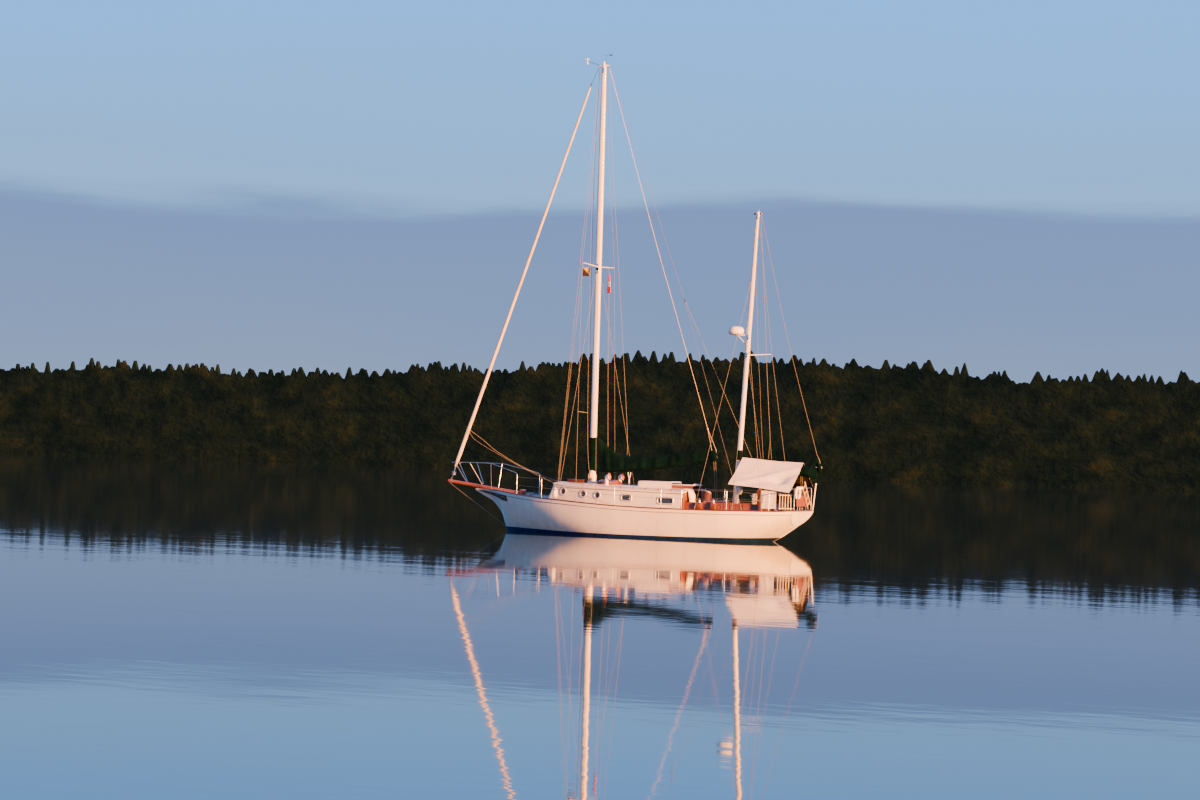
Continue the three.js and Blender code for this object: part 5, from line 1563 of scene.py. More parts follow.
def mizzen_fittings(root):
    """The mizzen's track, tangs and gooseneck, and the radar's dome on its bracket."""
    fittings = Shape()
    track = [(mizzen_x(z) - 0.088 + 0.004 * (z - 3), 0, z) for z in (2.9, 5.0, 7.6)]
    track += [(mizzen_x(z) - 0.066, 0, z) for z in (9.6, 10.7)]
    fittings.tube(track, 0.008, 6)
    for z in (MIZZEN_SPREADER_Z, MIZZEN_SPREADER_Z + 0.59, 10.75):
        for side in (1, -1):
            half = 0.058 if z < 8 else 0.045
            fittings.box((mizzen_x(z) - 0.03, side * half - 0.006, z - 0.09),
                         (mizzen_x(z) + 0.03, side * half + 0.006, z + 0.09), 0.003)
    for side in (1, -1):
        fittings.tube([(root - 0.48, side * 0.915, MIZZEN_SPREADER_Z + 0.07),
                       (root - 0.498, side * 0.945, MIZZEN_SPREADER_Z + 0.07)], 0.02, 12)
    gooseneck(fittings, MIZZEN_PIVOT, 0.048, -3.6, 0.016, MIZZEN_RAKE)
    fittings.make("mizzen_fittings", STEEL, angle=50)
    dome_x = mizzen_x(6.8) + 0.45
    dome = Shape().lathe([(0.0, 0.0), (0.215, 0.0), (0.228, 0.008), (0.264, 0.052), (0.27, 0.062),
                          (0.272, 0.08), (0.272, 0.12), (0.268, 0.128), (0.272, 0.136),
                          (0.262, 0.168), (0.238, 0.212), (0.19, 0.244), (0.13, 0.262),
                          (0.06, 0.27), (0.0, 0.272)], (dome_x, 0, 6.8303), steps=40)
    dome.make("radar_dome_moulding", DOME, slot="radome", replaces=["radar_dome"], angle=50)


make_main_mast()
make_mizzen_mast()

# Booms and covers. Columns of a cover: x, underside, top, half breadth
MAIN_BOOM = (vec(1.685, 0, 2.225), vec(-2.76, 0, 2.77), 0.062)
MIZZEN_BOOM = (vec(-3.64, 0, 2.37), vec(-6.49, 0, 2.5), 0.048)
MAIN_COVER = [(2.018, 2.13, 3.26, 0.03), (1.99, 2.115, 3.29, 0.08), (1.93, 2.11, 3.3, 0.112),
              (1.84, 2.11, 3.3, 0.12), (1.75, 2.11, 3.3, 0.112), (1.66, 2.11, 3.29, 0.095),
              (1.5, 2.105, 3.19, 0.1), (1.15, 2.12, 2.88, 0.15), (0.65, 2.15, 2.69, 0.165),
              (-0.29, 2.22, 2.69, 0.15), (-1.3, 2.36, 2.82, 0.125), (-2.12, 2.54, 2.95, 0.085),
              (-2.48, 2.61, 2.93, 0.062), (-2.6, 2.64, 2.9, 0.04)]
MIZZEN_COVER = [(-3.69, 2.23, 2.64, 0.055), (-3.95, 2.21, 2.6, 0.095), (-4.9, 2.24, 2.56, 0.1),
                (-5.85, 2.2, 2.54, 0.09), (-6.04, 2.15, 2.55, 0.085), (-6.15, 2.1, 2.74, 0.075),
                (-6.3, 2.11, 2.82, 0.055), (-6.41, 2.36, 2.7, 0.03)]
COVER_SECTION = [(0.0, 0.0), (0.025, 0.5), (0.09, 0.84), (0.2, 0.97), (0.33, 1.0), (0.47, 0.9),
                 (0.6, 0.78), (0.72, 0.67), (0.83, 0.55), (0.92, 0.4), (0.98, 0.2), (1.0, 0.0)]
COLLAR_WIDTHS = (0.0, 0.6, 0.9, 1.0, 1.0, 1.0, 1.0, 1.0, 1.0, 1.0, 0.96, 0.0)


def make_boom(name, spar, body, node):
    start, end, half = spar
    along = (end - start).normalized()
    long = (end - start).length
    shape = Shape().tube([start + along * s for s in (0, 0.01, 0.5, long - 0.5, long - 0.01, long)],
                         [half * 0.9, half, half, half * 0.86, half * 0.85, half * 0.76], 20)
    boom = shape.make(name, SPAR, body=None)
    pivot = start + along * 0.015
    carve(boom, cutter(Shape().tube([pivot - vec(0, 0, 0.2), pivot + vec(0, 0, 0.2)], 0.017, 12)))
    soften(boom, 50)
    settle(boom, body, "spar_paint", [node])
    band = Shape().tube([end - along * 0.16, end - along * 0.12], half * 0.9, 20)
    band.tube([end - along * 0.012, end], half * 0.88, 20)
    eye = end - along * 0.14
    band.tube([eye + vec(0, 0, -half * 0.8 + 0.03 * math.sin(a) - 0.02) + along * 0.02 * math.cos(a)
               for a in around(12)], 0.006, 6, loop=True)
    band.make(name + "_end_fitting", GALVANISED, body, "stainless", angle=50)


def sail_cover(name, rows, folds, step):
    """A bag of canvas laced under a boom, over the flaked sail; folds hang from its top."""
    low, high, half = (table_curve(rows, c) for c in (1, 2, 3))
    xs = sorted({*spread(rows[0][0], rows[-1][0], step), *(r[0] for r in rows)}, reverse=True)
    rings = []
    for x in xs:
        bottom, top, wide = low(x), high(x), half(x)
        tall = top - bottom

        def point(v, w, side):
            ease = math.sin(math.pi * clamp(v)) ** 0.7
            lean = x + (1 - v) * 0.3 * tall
            drift = 2.0 * noise.noise((x * 1.5, side * 3.0, v))
            fold = folds * ease * (math.sin(lean * 12.5 + side * 1.3 + drift)
                                   + 0.7 * math.sin(lean * 23.0 - side * 0.7 + 3.0 * v))
            fold += folds * 1.6 * ease * noise.noise((x * 3.2, side * 5.0 + v * 2.0, v * 3.0))
            pull = min(1.0, wide / 0.1)
            sag = 0.008 * math.sin(x * 9.0) * (1 - v) * pull
            skirt = 0.085 * clamp((x - 1.72) / 0.28) * (1 - v) ** 1.3
            return (x + skirt, side * max(w * wide + fold * pull, 0.0), bottom + tall * v + sag)

        round_mast = clamp((x - 1.46) / 0.22)
        widths = zip(COVER_SECTION, COLLAR_WIDTHS)
        section = [(v, w + (full - w) * round_mast) for (v, w), full in widths]
        port = [point(v, w, 1) for v, w in section]
        star = [point(v, w, -1) for v, w in section[-2:0:-1]]
        port[0] = (x, 0.0, port[0][2])
        port[-1] = (x, 0.0, port[-1][2])
        rings.append(port + star)
    return smooth_skin(Shape().loft(rings).make(name, GREEN, body=None, angle=70))


def smooth_skin(made):
    """One subdivision, put into the mesh."""
    tool = made.modifiers.new("smooth", "SUBSURF")
    tool.levels = tool.render_levels = 1
    apply_modifiers(made)
    for face in made.data.polygons:
        face.use_smooth = True
    return made


def make_covers():
    main = sail_cover("main_cover_canvas", MAIN_COVER, 0.011, 0.07)
    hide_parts("main_sail_cover", "main_cover_collar")
    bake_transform(main)
    mizzen = sail_cover("mizzen_cover_canvas", MIZZEN_COVER, 0.009, 0.06)
    settle(mizzen, "mizzen_boom", "cover_canvas", ["mizzen_sail_cover"])


# Ends of the covers, gathered round the boom ends.
# Columns: x, the middle's height, half height, half width
MAIN_TAIL = [(-2.5, 2.765, 0.15, 0.06), (-2.56, 2.775, 0.2, 0.082), (-2.64, 2.775, 0.205, 0.084),
             (-2.7, 2.765, 0.175, 0.076), (-2.745, 2.755, 0.125, 0.062),
             (-2.764, 2.755, 0.08, 0.046)]
MIZZEN_TAIL = [(-6.34, 2.5, 0.15, 0.05), (-6.38, 2.5, 0.19, 0.068), (-6.43, 2.47, 0.17, 0.066),
               (-6.465, 2.45, 0.125, 0.058), (-6.489, 2.46, 0.07, 0.04)]


def cover_tail(name, body, rows):
    """A gathered end of canvas, tied round the end of a boom."""
    dense = smooth_path([Vector(row[:3]) for row in rows], 5)
    widths = [p.x for p in smooth_path([vec(row[3], 0, 0) for row in rows], 5)]
    rings = []
    for i, (p, half) in enumerate(zip(dense, widths)):
        ring = []
        for a in around(32):
            rough = noise.noise((i * 0.3, math.cos(a) * 2, math.sin(a) * 2))
            pleat = 1 + 0.07 * math.sin(a * 7 + i * 0.25) + 0.05 * rough
            ring.append((p.x, half * pleat * math.sin(a), p.y + p.z * pleat * math.cos(a)))
        rings.append(ring)
    tail = Shape().loft(rings).make(name, GREEN, body, "cover_canvas", angle=70)


make_boom("main_boom_spar", MAIN_BOOM, "main_boom", "main_boom")
make_boom("mizzen_boom_spar", MIZZEN_BOOM, "mizzen_boom", "mizzen_boom")
make_covers()
cover_tail("main_cover_tail", "main_boom", MAIN_TAIL)
cover_tail("mizzen_cover_tail", "mizzen_boom", MIZZEN_TAIL)

# Awning over the mizzen boom: x, ridge and eave heights at its fore and aft edges
AWNING_FORE = (-3.69, 2.75, 1.86)
AWNING_AFT = (-5.84, 2.626, 1.65)
AWNING_HALF = 1.2
AWNING_SAG = 0.032
CLOTH_THICK = 0.004
CREASE_HIGH, CREASE_DEEP = 0.060, 0.036     # the diagonal fold, and the dip aft of it
DENT_DEEP, DENT_WIDE = 0.115, 0.12
DENT_AT = (0.76, 0.60)           # where the cloth sinks, as along and out


def awning_point(along, across, drop=0.0):
    """A point of the awning: along runs 0 to 1 aft, across -1 to 1, starboard eave to port."""
    out = abs(across)
    x, ridge, eave = (fore + (aft - fore) * along for fore, aft in zip(AWNING_FORE, AWNING_AFT))
    hang, middle = math.sin(math.pi * along), math.sin(math.pi * out)
    ridge -= AWNING_SAG / 2 * hang
    z = ridge + (eave - ridge) * out - AWNING_SAG * middle
    scallop = 0.03 * hang * out ** 3
    crease = along - (0.04 + 1.13 * (1 - out))
    z += CREASE_HIGH * math.exp(-(crease * 10) ** 2) * middle ** 0.6
    z -= CREASE_DEEP * math.exp(-((crease - 0.14) * 8) ** 2) * middle ** 0.6
    dent = ((along - DENT_AT[0]) / DENT_WIDE) ** 2 + ((out - DENT_AT[1]) / DENT_WIDE) ** 2
    z -= DENT_DEEP * math.exp(-dent)
    z += 0.006 * math.sin(along * 17 + across * 9) * middle
    z += 0.012 * noise.noise((along * 4, across * 4, 1.7)) * hang ** 0.5
    return vec(x, across * (AWNING_HALF - scallop), z + scallop * 0.6 - drop)


def make_awning():
    rows, columns = 40, 48
    rings = []
    for i in range(rows + 1):
        across = [2 * j / columns - 1 for j in range(columns + 1)]
        rings.append([awning_point(i / rows, a) for a in across]
                     + [awning_point(i / rows, a, CLOTH_THICK) for a in reversed(across)])
    awning = Shape().loft(rings).make("awning_canvas", AWNING_CLOTH, body=None, angle=70)
    edge = [awning_point(0, 2 * j / 30 - 1) for j in range(31)]
    edge += [awning_point(i / 20, 1) for i in range(1, 20)]
    edge += [awning_point(1, 1 - 2 * j / 30) for j in range(31)]
    edge += [awning_point(1 - i / 20, -1) for i in range(1, 20)]
    hem = Shape().tube([p - vec(0, 0, CLOTH_THICK / 2) for p in edge], 0.007, 6, loop=True)
    for share in (-0.5, 0.5):
        seam = [awning_point(i / 30, share) + vec(0, 0, 0.001) for i in range(31)]
        hem.tube(seam, 0.004, 6, flat=0.5)
    hem = hem.make("awning_hems", AWNING_CLOTH, body=None, angle=70)
    for piece in (awning, hem):
        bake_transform(piece)
    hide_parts("awning")


make_awning()


ROLL_FOOT, ROLL_TOP = vec(7.186, 0, 2.15), vec(2.34, 0, 15.3)
ROLL_LOW, ROLL_HIGH = 0.066, 0.036          # the roll's radius at its foot and at its top
ROLL_TURNS = 11
ROLL_STEPS = 170


def make_genoa():
    """The headsail rolled round its stay, with the spiral edge of the cloth showing."""
    foot, top = ROLL_FOOT, ROLL_TOP
    along = (top - foot).normalized()
    side = vec(0, 1, 0)
    up = along.cross(side)
    rings = []
    for i in range(ROLL_STEPS + 1):
        share = i / ROLL_STEPS
        base = ROLL_LOW + (ROLL_HIGH - ROLL_LOW) * share
        if share < 0.02:
            base *= 0.55 + 0.45 * share / 0.02
        if share > 0.985:
            base *= 0.5 + 0.5 * (1 - share) / 0.015
        middle = foot.lerp(top, share)
        ring = []
        for a in around(20):
            wrap = (a - share * 2 * math.pi * ROLL_TURNS) % (2 * math.pi) / (2 * math.pi)
            lip = 0.1 * (wrap - 0.5)
            rough = 0.05 * noise.noise((share * 60, math.cos(a) * 1.5, math.sin(a) * 1.5))
            r = base * (1 + lip + rough)
            ring.append(middle + (side * math.cos(a) + up * math.sin(a)) * r)
        rings.append(ring)
    roll = Shape().loft(rings).make("furled_genoa_roll", SAIL, replaces=["furled_genoa"], angle=45)
    gear = Shape()
    axis = vec(-0.016, 0, 0.1).normalized()
    drum = [(0.0, 0.0), (0.085, 0.0), (0.086, 0.006), (0.045, 0.012), (0.045, 0.078),
            (0.085, 0.084), (0.085, 0.09), (0.03, 0.098), (0.0, 0.098)]
    gear.lathe(drum, (7.238, 0, 1.86), axis, 28)
    gear.tube([(7.33, 0, 1.7), (7.285, 0, 1.8), (7.239, 0, 1.868)], 0.012, 10)
    gear.tube([(7.225, 0, 1.95), (7.2, 0, 2.06), (7.183, 0, 2.16)], [0.02, 0.018, 0.016], 12)
    gear.tube([(2.345, 0, 15.29), (2.2, 0, 15.62), (MAIN_X + 0.16, 0, MAIN_TOP - 0.05)],
              [0.012, 0.009, 0.009], 8)
    gear.tube([(2.42, 0, 15.1), (2.3, 0, 15.42)], 0.024, 14)
    gear.make("furling_gear", STEEL, angle=50)
    line = Shape()
    for k in range(7):
        z = 1.884 + 0.009 * k
        line.tube([(7.2345 - 0.0014 * k + 0.052 * math.cos(a), 0.052 * math.sin(a), z)
                   for a in around(24)], 0.005, 6, loop=True)
    line.make("furling_line_on_drum", ROPE, angle=70)
    bands = Shape()
    for share in (0.088, 0.092, 0.0965, 0.101):
        middle = foot.lerp(top, share)
        bands.tube([middle + (side * math.cos(a) + up * math.sin(a)) * 0.07 for a in around(24)],
                   0.007, 6, loop=True)
    clew = foot.lerp(top, 0.095)
    port = [clew + vec(-0.05, 0.04, 0), (6.311, 0.2, 3.086), (5.235, 0.6, 2.64),
            (4.011, 0.98, 2.173), (2.705, 1.27, 1.722), (1.3, 1.46, 1.3), (0.4, 1.64, 1.075)]
    starboard = [clew + vec(-0.05, -0.04, 0.03), (6.165, -0.1, 3.095), (5.649, -0.2, 2.7),
                 (4.73, -0.6, 2.15), (3.6, -1.02, 1.72), (2.2, -1.38, 1.4), (0.4, -1.64, 1.075)]
    for lead in (port, starboard):
        bands.tube(smooth_path(lead, 6), 0.0065, 6)
    bands.make("genoa_sheets", ROPE, angle=70)


make_genoa()


# Standing rigging
MAIN_TIP = (MAIN_X, 1.249, 9.16)            # where the cap shrouds cross the spreaders
MIZZEN_TIP = (mizzen_x(MIZZEN_SPREADER_Z) - 0.496, 0.941, 6.22)
# Columns: piece, node, the chainplate's x, where the wire crosses a spreader, its head
WIRES = [
    ("cap_shroud_", "main_cap_shroud_", 1.7, MAIN_TIP, (MAIN_X, 0.068, 15.82)),
    ("shroud_forward_lower_", "main_forward_lower_", 2.47, None, (1.875, 0.086, 8.97)),
    ("shroud_aft_lower_", "main_aft_lower_", 0.89, None, (1.825, 0.086, 8.97)),
    ("mizzen_shroud_", "mizzen_cap_shroud_", -4.95, MIZZEN_TIP,
     (mizzen_x(10.75) - 0.01, 0.054, 10.75)),
    ("mizzen_lower_wire_", "mizzen_lower_", -4.00, None, (mizzen_x(6.06), 0.068, 6.06)),
    ("mizzen_forward_wire_", "mizzen_forward_stay_", -2.7, None,
     (mizzen_x(8.51) + 0.06, 0.05, 8.51)),
]


def chainplate(x, side):
    return vec(x, side * (beam_at(x) - 0.104), sheer_at(x) - 0.115 + 0.014)


def rig(name, node, legs, feet=()):
    """Wires along legs of points; each foot has a chainplate and a turnbuckle."""
    shape = Shape()
    for leg in legs:
        shape.tube(leg, 0.0052, 6)
        top, before = Vector(leg[-1]), Vector(leg[-2])
        back = (before - top).normalized()
        shape.tube([top, top + back * 0.02, top + back * 0.1, top + back * 0.11],
                   [0.01, 0.01, 0.008, 0.0055], 8)
    for foot, towards in feet:
        foot, towards = Vector(foot), Vector(towards)
        up = (towards - foot).normalized()
        marks = [(0.00, 0.01), (0.03, 0.01), (0.035, 0.0065), (0.075, 0.0065), (0.08, 0.013),
                 (0.26, 0.013), (0.265, 0.0065), (0.3, 0.0065), (0.305, 0.009), (0.37, 0.008),
                 (0.38, 0.0055)]
        shape.tube([foot + up * s for s, _ in marks], [r for _, r in marks], 10)
        shape.bar(foot - up * 0.1, foot + up * 0.03, 0.006, 0.036, 0.002, (0, 1, 0))
        pin = vec(0, 0.016, 0)
        shape.tube([foot - pin + up * 0.012, foot + pin + up * 0.012], 0.006, 8)
    shape.make(name, WIRE, replaces=[node], angle=50)


def standing_rig(side, word):
    for piece, node, x, tip, head in WIRES:
        marks = [chainplate(x, side)] + [vec(p[0], side * p[1], p[2]) for p in (tip, head) if p]
        legs = list(zip(marks, marks[1:]))
        rig(piece + word, node + word, legs, [legs[0]])


def backstay():
    """One wire from the masthead to a plate, and a leg from it to each quarter."""
    plate = vec(-1.407, 0, 7.977)
    foot_at = vec(-4.33, 1.42, deck_edge(-4.33)[1] + 0.024)
    legs, feet = [[plate + vec(0.01, 0, 0.04), vec(1.653, 0, 15.984)]], []
    for side in (1, -1):
        foot = vec(foot_at.x, side * foot_at.y, foot_at.z)
        legs.append([foot, plate + vec(-0.02, side * 0.03, -0.055)])
        feet.append((foot, plate))
    rig("backstay_wires", "main_backstay", legs, feet)
    corners = [(0.0, 0.055), (-0.045, -0.075), (0.045, -0.075)]
    tilt = vec(-0.34, 0, -0.94).normalized()
    made = Shape().loft([[plate + vec(dx, y, 0) - tilt * z for y, z in corners]
                         for dx in (-0.004, 0.004)])
    for y, z in corners:
        made.lathe([(0.0, -0.012), (0.013, -0.012), (0.013, 0.012), (0.0, 0.012)],
                   plate + vec(0, y * 0.8, 0) - tilt * z * 0.85, (1, 0, 0), 12)
    made.make("backstay_plate", BLACK, slot="stainless", replaces=["main_backstay"], angle=40)


both(standing_rig)
backstay()
bob = [(7.345, 0, 1.541), (7.3, 0, 1.512), (5.16, 0, 0.156), (5.119, 0, 0.13)]
Shape().tube(bob, [0.012, 0.007, 0.007, 0.012], 8).make("bobstay_wire", WIRE, replaces=["bobstay"])


# Pulpit, pushpit, stanchions and lifelines
TUBE = 0.013
STANCHIONS = (3.13, 0.14, -1.57, -2.3, -3.85)
STANCHION_HIGH = 0.64


def rail_foot(x, side, inboard=0.045):
    return vec(x, side * (beam_at(x) - inboard), sheer_at(x) + CAP_HIGH + 0.003)


def foot_flange(shape, at):
    shape.lathe([(0.0, -0.003), (0.034, -0.003), (0.034, 0.004), (0.02, 0.01), (0.016, 0.03),
                 (0.0, 0.031)], at, steps=16)


def make_pulpit():
    half = [(5.52, 0.43, 2.29), (6.3, 0.3, 2.3), (7.05, 0.165, 2.29)]
    path = smooth_path(half + [(7.3, 0, 2.285)] + [(x, -y, z) for x, y, z in reversed(half)], 8)
    bow = Shape().tube(path, TUBE, 12)
    for side in (1, -1):
        aft = rail_foot(4.3, side)
        knee = vec(aft.x, aft.y, 1.93)
        bow.tube([aft, knee, knee + vec(0.02, 0, 0.055), knee + vec(0.1, -side * 0.01, 0.09),
                  (5.53, side * 0.428, 2.289)], TUBE, 12)
        bow.tube([rail_foot(5.6, side, 0.035), (5.56, side * 0.424, 2.29)], TUBE, 12)
        bow.tube([(6.08, side * 0.06, 1.566), (6.48, side * 0.27, 2.299)], TUBE, 12)
        bow.tube([(6.7, side * 0.045, 1.616), (7.12, side * 0.142, 2.287)], TUBE, 12)
        foot_flange(bow, aft)
        foot_flange(bow, rail_foot(5.6, side, 0.035))
    bow.make("pulpit_tubes", STEEL, replaces=["pulpit"], angle=60)


def make_pushpit():
    side_rail = [(-5.15, 1.245, 1.59), (-5.56, 1.07, 1.64), (-5.85, 0.76, 1.79)]
    path = smooth_path(side_rail + [(-5.9, 0, 1.8)]
                       + [(x, -y, z) for x, y, z in reversed(side_rail)], 8)
    stern = Shape().tube(path, TUBE, 12)
    foot = STATIONS[0][1] + CAP_HIGH + 0.008
    for side in (1, -1):
        for low, high in ((rail_foot(-5.17, side), (-5.17, side * 1.235, 1.594)),
                          ((-5.852, side * 0.755, foot), (-5.852, side * 0.755, 1.79)),
                          ((-5.852, side * 0.26, foot), (-5.89, side * 0.26, 1.798))):
            stern.tube([low, high], TUBE, 12)
            foot_flange(stern, low)
    stern.make("pushpit_tubes", STEEL, replaces=["pushpit"], angle=60)


def stanchion_line(side, word):
    tops, mids = [], []
    for i, x in enumerate(STANCHIONS):
        foot = rail_foot(x, side)
        top = foot + vec(0, 0, STANCHION_HIGH)
        post = Shape().tube([foot, foot + vec(0, 0, STANCHION_HIGH - 0.012), top],
                            [TUBE, TUBE, TUBE * 0.75], 12)
        foot_flange(post, foot)
        for z in (0.32, STANCHION_HIGH - 0.02):
            post.tube([foot + vec(-0.012, 0, z), foot + vec(0.012, 0, z)], 0.016, 8)
        name = f"stanchion_{word}_{i + 1}"
        post.make(name + "_post", STEEL, replaces=[name], angle=60)
        tops.append(top - vec(0, 0, 0.02))
        mids.append(foot + vec(0, 0, 0.32))
    lines = Shape()
    for points, bow_z, aft_z in ((tops, 1.86, 1.575), (mids, 1.58, 1.33)):
        bow = rail_foot(4.3, side)
        aft = rail_foot(-5.17, side)
        run = [vec(4.3, bow.y, bow_z), *points, vec(-5.17, side * 1.24, aft_z)]
        for a, b in zip(run, run[1:]):
            sag = 0.012 * (b - a).length / 2
            span = [a.lerp(b, t / 6) - vec(0, 0, sag * 4 * (t / 6) * (1 - t / 6)) for t in range(7)]
            lines.tube(span, 0.0045, 6)
    lines.make("lifelines_" + word, WIRE, angle=60)


make_pulpit()
make_pushpit()
both(stanchion_line)


# Running rigging
MASTHEAD_AFT = (1.66, 0, 15.96)


def strand(shape, points, radius=0.0065, steps=4):
    """A line that runs smoothly through the points."""
    return shape.tube(smooth_path(points, steps), radius, 6)


def block(shape, at, size=0.04, axis=(0, 1, 0)):
    """A pulley block: two cheeks on a sheave."""
    cheeks = [(0.0, -0.016), (size * 0.8, -0.016), (size, -0.01), (size * 0.85, -0.006),
              (size * 0.85, 0.006), (size, 0.01), (size * 0.8, 0.016), (0.0, 0.016)]
    return shape.lathe(cheeks, at, axis, 18)


def ply(shape, rows, push):
    """A thin closed body: a grid of points, and the same grid moved by push."""
    push = Vector(push)
    return shape.loft([[Vector(p) for p in row] + [Vector(p) + push for p in reversed(row)]
                       for row in rows])


# The halyard down the mast's fore side to its pin, on the port side
HALYARD_LEAD = [(2.02, 0.02, 15.95), (2.14, 0.05, 12.0), (2.09, 0.06, 5.4), (2.02, 0.11, 3.45),
                (1.965, 0.158, 2.75), (1.905, 0.158, 2.2), (1.852, 0.105, 2.067)]
LIFT_FORK = vec(-2.384, 0, 3.665)      # where the topping lift splits


def main_lines():
    """Halyards and topping lift of the main mast."""
    lines = Shape()
    for side in (1, -1):
        strand(lines, [(x, side * y, z) for x, y, z in HALYARD_LEAD])
    low = chainplate(2.47, 1) + vec(0.02, 0, 0.44)
    strand(lines, [(1.99, 0.04, 15.95), (2.24, 0.66, 8.9), low], 0.0055)
    shroud = chainplate(1.7, 1).lerp(Vector(MAIN_TIP), 0.385)
    strand(lines, [shroud, (2.06, 0.09, shroud.z - 0.02)], 0.008, 2)
    lines.make("main_halyards", ROPE, angle=70)
    sail = Shape()
    strand(sail, [MASTHEAD_AFT, (1.436, 0, 12.752), (1.175, 0, 10.019), (0.794, 0, 5.937),
                  (0.56, 0.03, 3.4), (0.53, 0.07, 2.72)])
    sail = sail.make("main_halyard_on_cover", ROPE, body=None, slot="rope", angle=70)
    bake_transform(sail)
    lift = Shape()
    fork = LIFT_FORK
    strand(lift, [MASTHEAD_AFT, (-0.26, 0, 10.006), (-0.832, 0, 8.314), (-1.251, 0, 7.069),
                  (-1.97, 0, 4.928), fork], 0.008)
    strand(lift, [fork, (-2.56, 0.03, 2.98), (-2.6, 0.058, 2.76)], 0.006)
    strand(lift, [fork, (-2.7, -0.01, 2.98), (-2.735, 0, 2.82)], 0.006)
    block(lift, fork, 0.026)
    lift = lift.make("main_topping_lift", COIL_ROPE_LOOK, body=None, slot="rope", angle=70)
    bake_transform(lift)


def main_sheet():
    """Traveller across the cockpit's coamings, and the tackle from it to the boom."""
    horse = Shape().tube([(-2.78, -0.962, 1.262), (-2.78, 0.962, 1.262)], 0.013, 12)
    for side in (1, -1):
        horse.box((-2.815, side * 0.967 - 0.018, COAMING_TOP + SEAT),
                  (-2.745, side * 0.967 + 0.018, 1.28), 0.006)
    block(horse, (-2.78, 0, 1.305), 0.024)
    horse.make("main_traveller", STEEL, angle=50)
    tackle = Shape()
    for dx, dy in ((0.034, 0.0), (-0.034, 0.0)):
        strand(tackle, [(-2.665 + dx, dy, 2.66), (-2.78 + dx, dy, 1.31)], 0.005, 2)
    tackle = tackle.make("main_sheet_tackle", ROPE_WHITE, body=None, slot="rope", angle=70)
    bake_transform(tackle)


def mizzen_lines():
    """Halyards, lift and sheet of the mizzen, and the fittings that they hang from."""
    head = vec(mizzen_x(10.85), 0, 10.85)
    fittings = Shape().box(head + vec(-0.125, -0.016, -0.03), head + vec(0.135, 0.016, 0.016),
                           0.006)
    for dx in (-0.105, 0.115):
        block(fittings, head + vec(dx, 0, -0.005), 0.034)
    fittings.tube([head + vec(-0.03, 0, 0.04), head + vec(-0.035, 0, 0.15)], [0.008, 0.004], 8)
    for z in (8.51, 10.29):
        reach = 0.075 if z < 9 else 0.058
        fittings.box((mizzen_x(z) + reach - 0.008, -0.055, z - 0.05),
                     (mizzen_x(z) + reach + 0.016, 0.055, z + 0.05), 0.006)
    fittings.make("mizzen_head_fittings", GALVANISED, angle=50)
    slack = Shape()
    strand(slack, [head + vec(-0.06, 0.02, -0.1), (-4.004, 0.03, 9.142), (-4.061, 0.03, 7.581),
                   (-4.141, 0.03, 6.222), (-4.233, 0.03, 5.196), (-4.306, 0.02, 4.072),
                   (-4.413, 0, 2.735)], 0.005)
    ridge = vec(-4.644, 0, 3.385)
    strand(slack, [head + vec(-0.1, 0, -0.02), (-4.303, 0, 8.013), (-4.42, 0, 6.225),
                   (-4.522, 0, 4.837), ridge], 0.0075)
    strand(slack, [ridge, (-4.6, 0, 2.716)], 0.005, 2)
    strand(slack, [ridge, (-4.712, 0, 2.712)], 0.005, 2)
    end = vec(-6.313, 0, 2.9)
    strand(slack, [head + vec(-0.12, 0, 0), head.lerp(end, 0.5) + vec(0.03, 0, 0), end], 0.006)
    for dy in (0.012, -0.012):
        strand(slack, [end, (-6.4, dy, 2.74), (-6.452, dy, 2.53)], 0.006)
    slack = slack.make("mizzen_lines", ROPE, body=None, slot="rope", angle=70)
    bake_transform(slack)
    sheet = Shape()
    for dx, dy in ((0.022, 0.018), (-0.022, -0.018)):
        strand(sheet, [(-5.79 + dx, dy, 2.24), (-5.835 + dx, dy, 1.12)], 0.006, 2)
    for at in ((-5.79, 0, 2.235), (-5.836, 0, 1.118)):
        block(sheet, at, 0.03)
    sheet = sheet.make("mizzen_sheet_tackle", ROPE, body=None, slot="rope", angle=70)
    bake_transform(sheet)


def flag_lines(side, word):
    y = 1.16 if side > 0 else 0.85
    top = vec(MAIN_X, side * y, MAIN_SPREADER_Z + 0.02)
    foot = vec(1.8, side * 1.14, roof_top(1.8, 1.0))
    if side > 0:
        foot = chainplate(2.47, side) + vec(-0.02, 0, 0.42)
    shape = Shape()
    for dx in (-0.012, 0.012):
        strand(shape, [top + vec(dx, 0, 0), top.lerp(foot, 0.5) + vec(dx + 0.02, 0, 0),
                       foot + vec(dx, 0, 0.03)], 0.0035)
    shape.make("flag_halyard_" + word, ROPE_WHITE, angle=70)


def burgee_point(u, v):
    wave = 0.022 * math.sin(u * 7.0 + v * 1.5) * u
    return (MAIN_X + 0.084 - 0.29 * u + 0.012 * v, 1.03 + wave,
            9.015 - 0.03 * u - (0.3 - 0.03 * u) * v)


def courtesy_point(u, v):
    gather = 0.085 * (0.45 + 0.55 * v)
    return (MAIN_X + gather * math.sin(u * 6.6 + 0.9 * v) - 0.02 + 0.05 * (u - 0.5),
            -0.85 + 0.05 * math.sin(u * 9.4 + 1.2 * v + 0.6), 8.915 - 0.62 * v - 0.03 * u)


